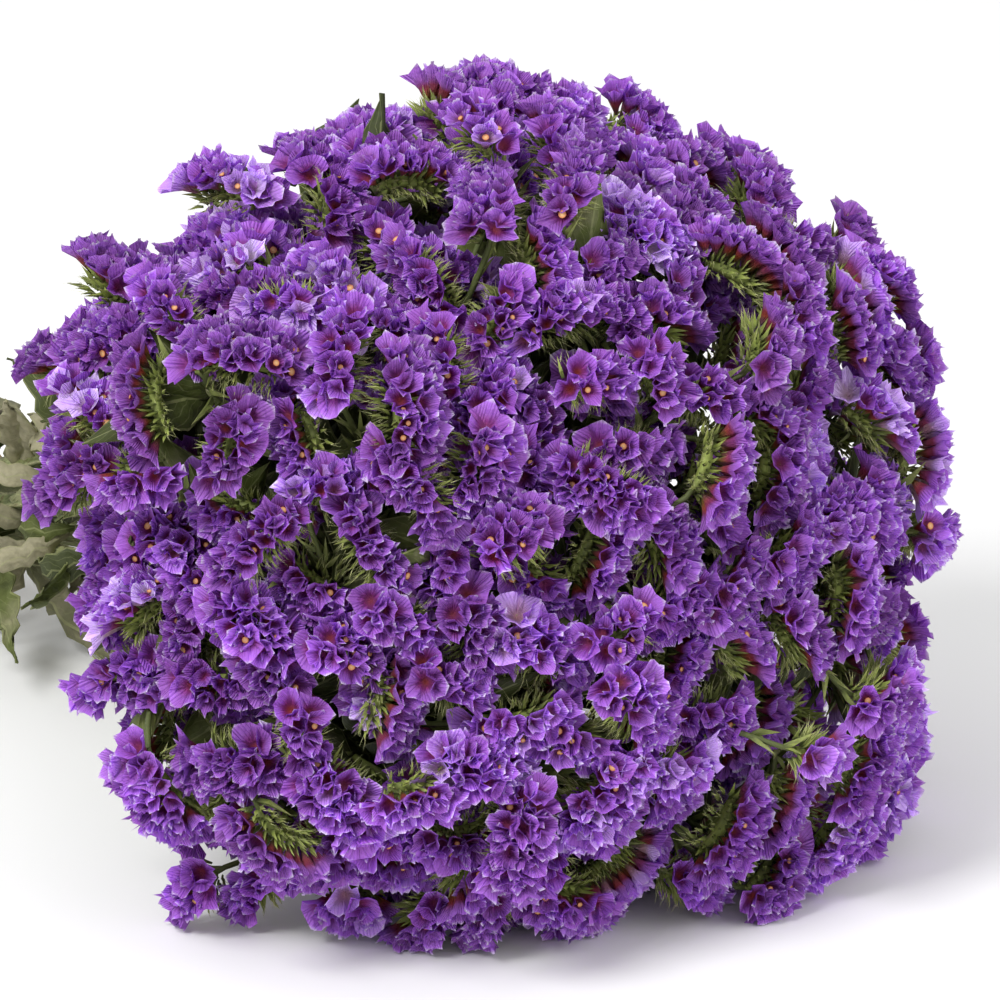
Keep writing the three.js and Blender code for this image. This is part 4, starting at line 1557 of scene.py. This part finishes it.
class STATICE_OT_leaves(bpy.types.Operator):
    """Models the dried, toothed leaves of the outer stems"""

    bl_idname = "statice.leaves"
    bl_label = "Dried Leaves"

    def execute(self, context):
        material = leaf_material(context.scene.statice_colours)
        large = [leaf_shape(k, 6, 16, LEAF_LENGTH, LEAF_WIDTH) for k in range(LEAF_VARIANTS)]
        small = [leaf_shape(10 + k, 2, 6, TWIG_LEAF_LENGTH, TWIG_LEAF_WIDTH) for k in range(LEAF_VARIANTS)]
        curled = [
            leaf_shape(20 + k, 4, 12, LEAF_LENGTH, COLLAR_WIDTH, between(HOOKS, k / (LEAF_VARIANTS - 1)) * DEGREE)
            for k in range(LEAF_VARIANTS)
        ]
        for stem in range(len(SPRAYS)):
            draw = seeded(1300 + stem)
            parts = [self.grown(small, *self.on_twigs(stem, draw), 0.35, draw)]
            parts.append(self.grown(small, *self.round_fork(stem, draw), 0.2, draw))
            if stem >= INNER_STEMS:
                parts.append(self.grown(large, *self.on_stem(stem, draw), 1.0, draw))
                parts.append(self.grown(curled, *self.in_collar(stem, draw), 1.0, draw))
            piece = joined(f"leaves_{stem + 1:02d}", above_floor(parts), [material])
            placed(piece, "stem", f"stem_{stem + 1:02d}")
        return {"FINISHED"}

    def grown(self, shapes, roots, ways, fronts, scales, driest, draw):
        """Leaves of several shapes at their places, as one set of faces."""
        axes = turned_to(np.array(ways), np.array(fronts))
        parts = []
        for k in range(len(roots)):
            shape = shapes[int(draw() * len(shapes))]
            parts.append(copies(shape, np.array([roots[k]]), axes[k : k + 1], [scales[k]], [driest * draw()]))
        return merged(parts)

    def on_twigs(self, stem, draw):
        """The narrow leafy wings of the twigs: roots, ways, fronts and scales."""
        roots, ways, fronts, scales = [], [], [], []
        for cluster in CLUSTERS:
            if cluster["stem"] != stem:
                continue
            root, tip = twig_ends(cluster)
            for _ in range(TWIG_LEAVES):
                loose = unit(stray(draw))
                roots.append(root + (tip - root) * (0.35 + 0.6 * draw()))
                ways.append(unit(tip - root) * 0.8 + loose)
                fronts.append(np.cross(loose, tip - root) + loose * 0.01)
                scales.append(between(TWIG_LEAF_SIZE, draw()))
        return roots, ways, fronts, scales

    def round_fork(self, stem, draw):
        """The old leaves in the middle of the head: roots, ways, fronts and scales."""
        route = stem_points(stem)
        found = []
        for _ in range(CORE_LEAVES):
            loose = unit(stray(draw))
            root = smooth_route(route, 0.82 + 0.18 * draw())
            found.append((root, loose + AHEAD * 0.3, any_fronts([0], draw)[0], CORE_LEAF_SCALE))
        return zip(*found)

    def in_collar(self, stem, draw):
        """The curled leaves behind the head: roots, ways, fronts and scales."""
        found = []
        for k in range(COLLAR_LEAVES):
            turn = (SPRAYS[stem][1] + 60 * (draw() - 0.5)) * DEGREE
            back = between(COLLAR_BACK, (k + draw()) / COLLAR_LEAVES)
            out = SIDE * math.cos(turn) + RISE * math.sin(turn)
            root = in_bunch(-back, 0, 0) + out * OUTER_RING
            loose = stray(draw)
            way = out + AHEAD * (draw() - 0.4) + loose * 0.5
            found.append((root, way, np.cross(out, AHEAD) + loose * 0.6, 0.5 + 0.6 * draw()))
        return zip(*found)

    def on_stem(self, stem, draw):
        """The large leaves of a stem: roots, ways, fronts and scales."""
        route = stem_points(stem)
        solid = seeded(40 + stem)
        for _ in range(CUP_DRAWS * OUTER_CLUSTERS):
            solid()
        found = []
        for share in LEAF_PLACES:
            root = smooth_route(route, share + LEAF_SLIP * solid())
            axis = in_bunch(np.dot(root - HEAD_MIDDLE, AHEAD), 0, 0)
            way = unit(root - axis) * (0.6 + 0.4 * solid()) + AHEAD * 0.7
            turn = math.atan2(way[2], way[1]) + math.pi / 2 + 0.6 * (solid() - 0.5)
            solid()
            solid()
            found.append((root, way, self.front(way, turn), 1.0))
        for share in SMALL_LEAF_PLACES:
            root = smooth_route(route, share + 0.08 * draw())
            axis = in_bunch(np.dot(root - HEAD_MIDDLE, AHEAD), 0, 0)
            loose = stray(draw)
            way = unit(root - axis) * 0.7 + AHEAD * 0.5 + loose * 0.8
            found.append((root, way, loose + 0.01, 0.4 + 0.4 * draw()))
        return zip(*found)

    def front(self, way, turn):
        """The way that a leaf's width runs, from the turn about its own length."""
        lean = Vector((0, 0, 1)).rotation_difference(Vector(way))
        return np.array(lean @ Vector((math.cos(turn), math.sin(turn), 0)))


class STATICE_OT_twine(bpy.types.Operator):
    """Models the twisted twine, its knot and its two ends"""

    bl_idname = "statice.twine"
    bl_label = "Twine Tie"

    def execute(self, context):
        material = twine_material(context.scene.statice_colours)
        draw = seeded(1500)
        ring = self.plies(self.ring_line())
        knot = self.plies(self.knot_line())
        ends = [line for sideways in (-1, 1) for line in self.plies(self.end_line(sideways))]
        parts = [swept(ring + knot + ends, tone=0.4)]
        hair = hair_shape()
        spots = np.array([ring[0][0][int(draw() * len(ring[0][0]))] for _ in range(FIBRES)])
        ways = unit(any_fronts(spots, draw))
        thickness = np.full(FIBRES, FIBRE_RADIUS)
        lengths = np.array([0.0012 + 0.0018 * draw() for _ in spots])
        stretch = np.stack([thickness, thickness, lengths], axis=1)
        axes = turned_to(ways, any_fronts(spots, draw))
        parts.append(copies(hair, spots, axes, stretch, [draw() for _ in spots]))
        piece = joined("twine_turns", above_floor(parts), [material])
        placed(piece, "twine", "twine_tie")
        return {"FINISHED"}

    def ring_line(self):
        """Turns side by side round the stems."""
        radius = TIE_INNER_RADIUS + TWINE / 2
        share = np.linspace(0, 1, TIE_TURNS * 96 + 1)
        turn = share * TIE_TURNS * 2 * math.pi
        ahead = -TIE_BACK + (share - 0.5) * TIE_TURNS * TWINE * 0.82
        return np.array([in_bunch(*p) for p in zip(ahead, radius * np.sin(turn), radius * np.cos(turn))])

    def knot_line(self):
        """An overhand knot on top of the turns."""
        t = np.linspace(0, 2 * math.pi, 60)
        ahead = -TIE_BACK + 0.0017 * (np.sin(t) + 2 * np.sin(2 * t))
        side = 0.0017 * (np.cos(t) - 2 * np.cos(2 * t))
        rise = TIE_INNER_RADIUS + TWINE * 1.5 - 0.0012 * np.sin(3 * t)
        return np.array([in_bunch(*p) for p in zip(ahead, side, rise)])

    def end_line(self, sideways):
        """One of the twine's two ends, lying over the stems."""
        top = TIE_INNER_RADIUS + TWINE * 1.5
        middle = in_bunch(-TIE_BACK - TWINE_END_BACK * 0.3, sideways * TWINE_END_SIDE * 0.5, top)
        end = in_bunch(-TIE_BACK - TWINE_END_BACK, sideways * TWINE_END_SIDE, TIE_INNER_RADIUS + 0.001)
        route = [in_bunch(-TIE_BACK, 0, top), middle, end]
        return np.array([smooth_route(route, t) for t in np.linspace(0, 1, 24)])

    def plies(self, line):
        """Two strands twisted round a line."""
        ahead = unit(np.gradient(line, axis=0))
        steps = np.linalg.norm(np.diff(line, axis=0), axis=1)
        turn = np.concatenate([[0], np.cumsum(steps)]) / PLY_PITCH * 2 * math.pi
        first = unit(np.cross(ahead, AHEAD + 0.01))
        second = np.cross(ahead, first)
        strands = []
        for phase in (0, math.pi):
            away = first * np.cos(turn + phase)[:, None] + second * np.sin(turn + phase)[:, None]
            strands.append((line + away * TWINE * 0.24, [TWINE * 0.27] * len(line)))
        return strands


class STATICE_OT_stage(bpy.types.Operator):
    """Sets the pale floor, the soft lights and the camera"""

    bl_idname = "statice.stage"
    bl_label = "Stage"

    def execute(self, context):
        colours = context.scene.statice_colours
        new_piece_starts()
        bpy.ops.mesh.primitive_plane_add(size=12, location=(0, 0, 0))
        floor = context.object
        floor.name = "floor"
        floor.data.materials.append(floor_material(colours))
        floor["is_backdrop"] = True
        self.lights(context)
        self.camera(context)
        return {"FINISHED"}

    def lights(self, context):
        """A pale room, a broad soft key light and a weaker fill."""
        world = bpy.data.worlds.new("pale room")
        world.use_nodes = True
        background = world.node_tree.nodes["Background"]
        background.inputs["Color"].default_value = (1, 1, 1, 1)
        background.inputs["Strength"].default_value = 0.78
        context.scene.world = world
        for name, place, size, power in LIGHTS:
            bpy.ops.object.light_add(type="AREA", location=place)
            light = context.object
            light.name = name
            light.data.size = size
            light.data.energy = power
            towards = Vector(HEAD_MIDDLE) - light.location
            light.rotation_euler = towards.to_track_quat("-Z", "Y").to_euler()

    def camera(self, context):
        """Looks down on the flower end."""
        back = Vector(VIEW_BACK)
        bpy.ops.object.camera_add(location=Vector(VIEW_TARGET) + back * VIEW_DISTANCE)
        camera = context.object
        camera.name = "camera"
        camera.rotation_euler = (-back).to_track_quat("-Z", "Y").to_euler()
        camera.data.sensor_width = 36
        camera.data.lens = 36 * VIEW_DISTANCE / VIEW_WIDTH
        context.scene.camera = camera
        context.scene.view_settings.view_transform = "Standard"


class STATICE_PT_panel(bpy.types.Panel):
    """Lists the settings and the pieces, in the order in which they are made"""

    bl_idname = "STATICE_PT_panel"
    bl_label = "Dried Statice"
    bl_space_type = "VIEW_3D"
    bl_region_type = "UI"
    bl_category = "Statice"

    def draw(self, context):
        for settings in (context.scene.statice_sizes, context.scene.statice_colours):
            box = self.layout.box()
            for name in settings.__annotations__:
                box.prop(settings, name)
        for name in ("stems", "bracts", "calyces", "leaves", "twine", "stage"):
            self.layout.operator(f"statice.{name}")


LIGHTS = [
    ("key_light", (0.5, -1.7, 1.9), 0.9, 50),
    ("fill_light", (1.9, 0.6, 1.0), 1.6, 14),
]

CLASSES = [
    StaticeSizes,
    StaticeColours,
    STATICE_OT_stems,
    STATICE_OT_bracts,
    STATICE_OT_calyces,
    STATICE_OT_leaves,
    STATICE_OT_twine,
    STATICE_OT_stage,
    STATICE_PT_panel,
]


def register():
    """Adds the classes and their settings to Blender."""
    for cls in CLASSES:
        bpy.utils.register_class(cls)
    bpy.types.Scene.statice_sizes = bpy.props.PointerProperty(type=StaticeSizes)
    bpy.types.Scene.statice_colours = bpy.props.PointerProperty(type=StaticeColours)


def unregister():
    """Takes them out again."""
    del bpy.types.Scene.statice_colours
    del bpy.types.Scene.statice_sizes
    for cls in reversed(CLASSES):
        bpy.utils.unregister_class(cls)


def main():
    """Makes the whole bunch and its stage, and works out how large it came out."""
    register()
    bpy.ops.statice.stems()
    bpy.ops.statice.bracts()
    bpy.ops.statice.calyces()
    bpy.ops.statice.leaves()
    bpy.ops.statice.twine()
    bpy.ops.statice.stage()
    boxes = {"cad": CAD_BOX, "visual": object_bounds()}
    {key: [list(corner) for corner in box] for key, box in boxes.items()}


if __name__ == "__main__":
    main()
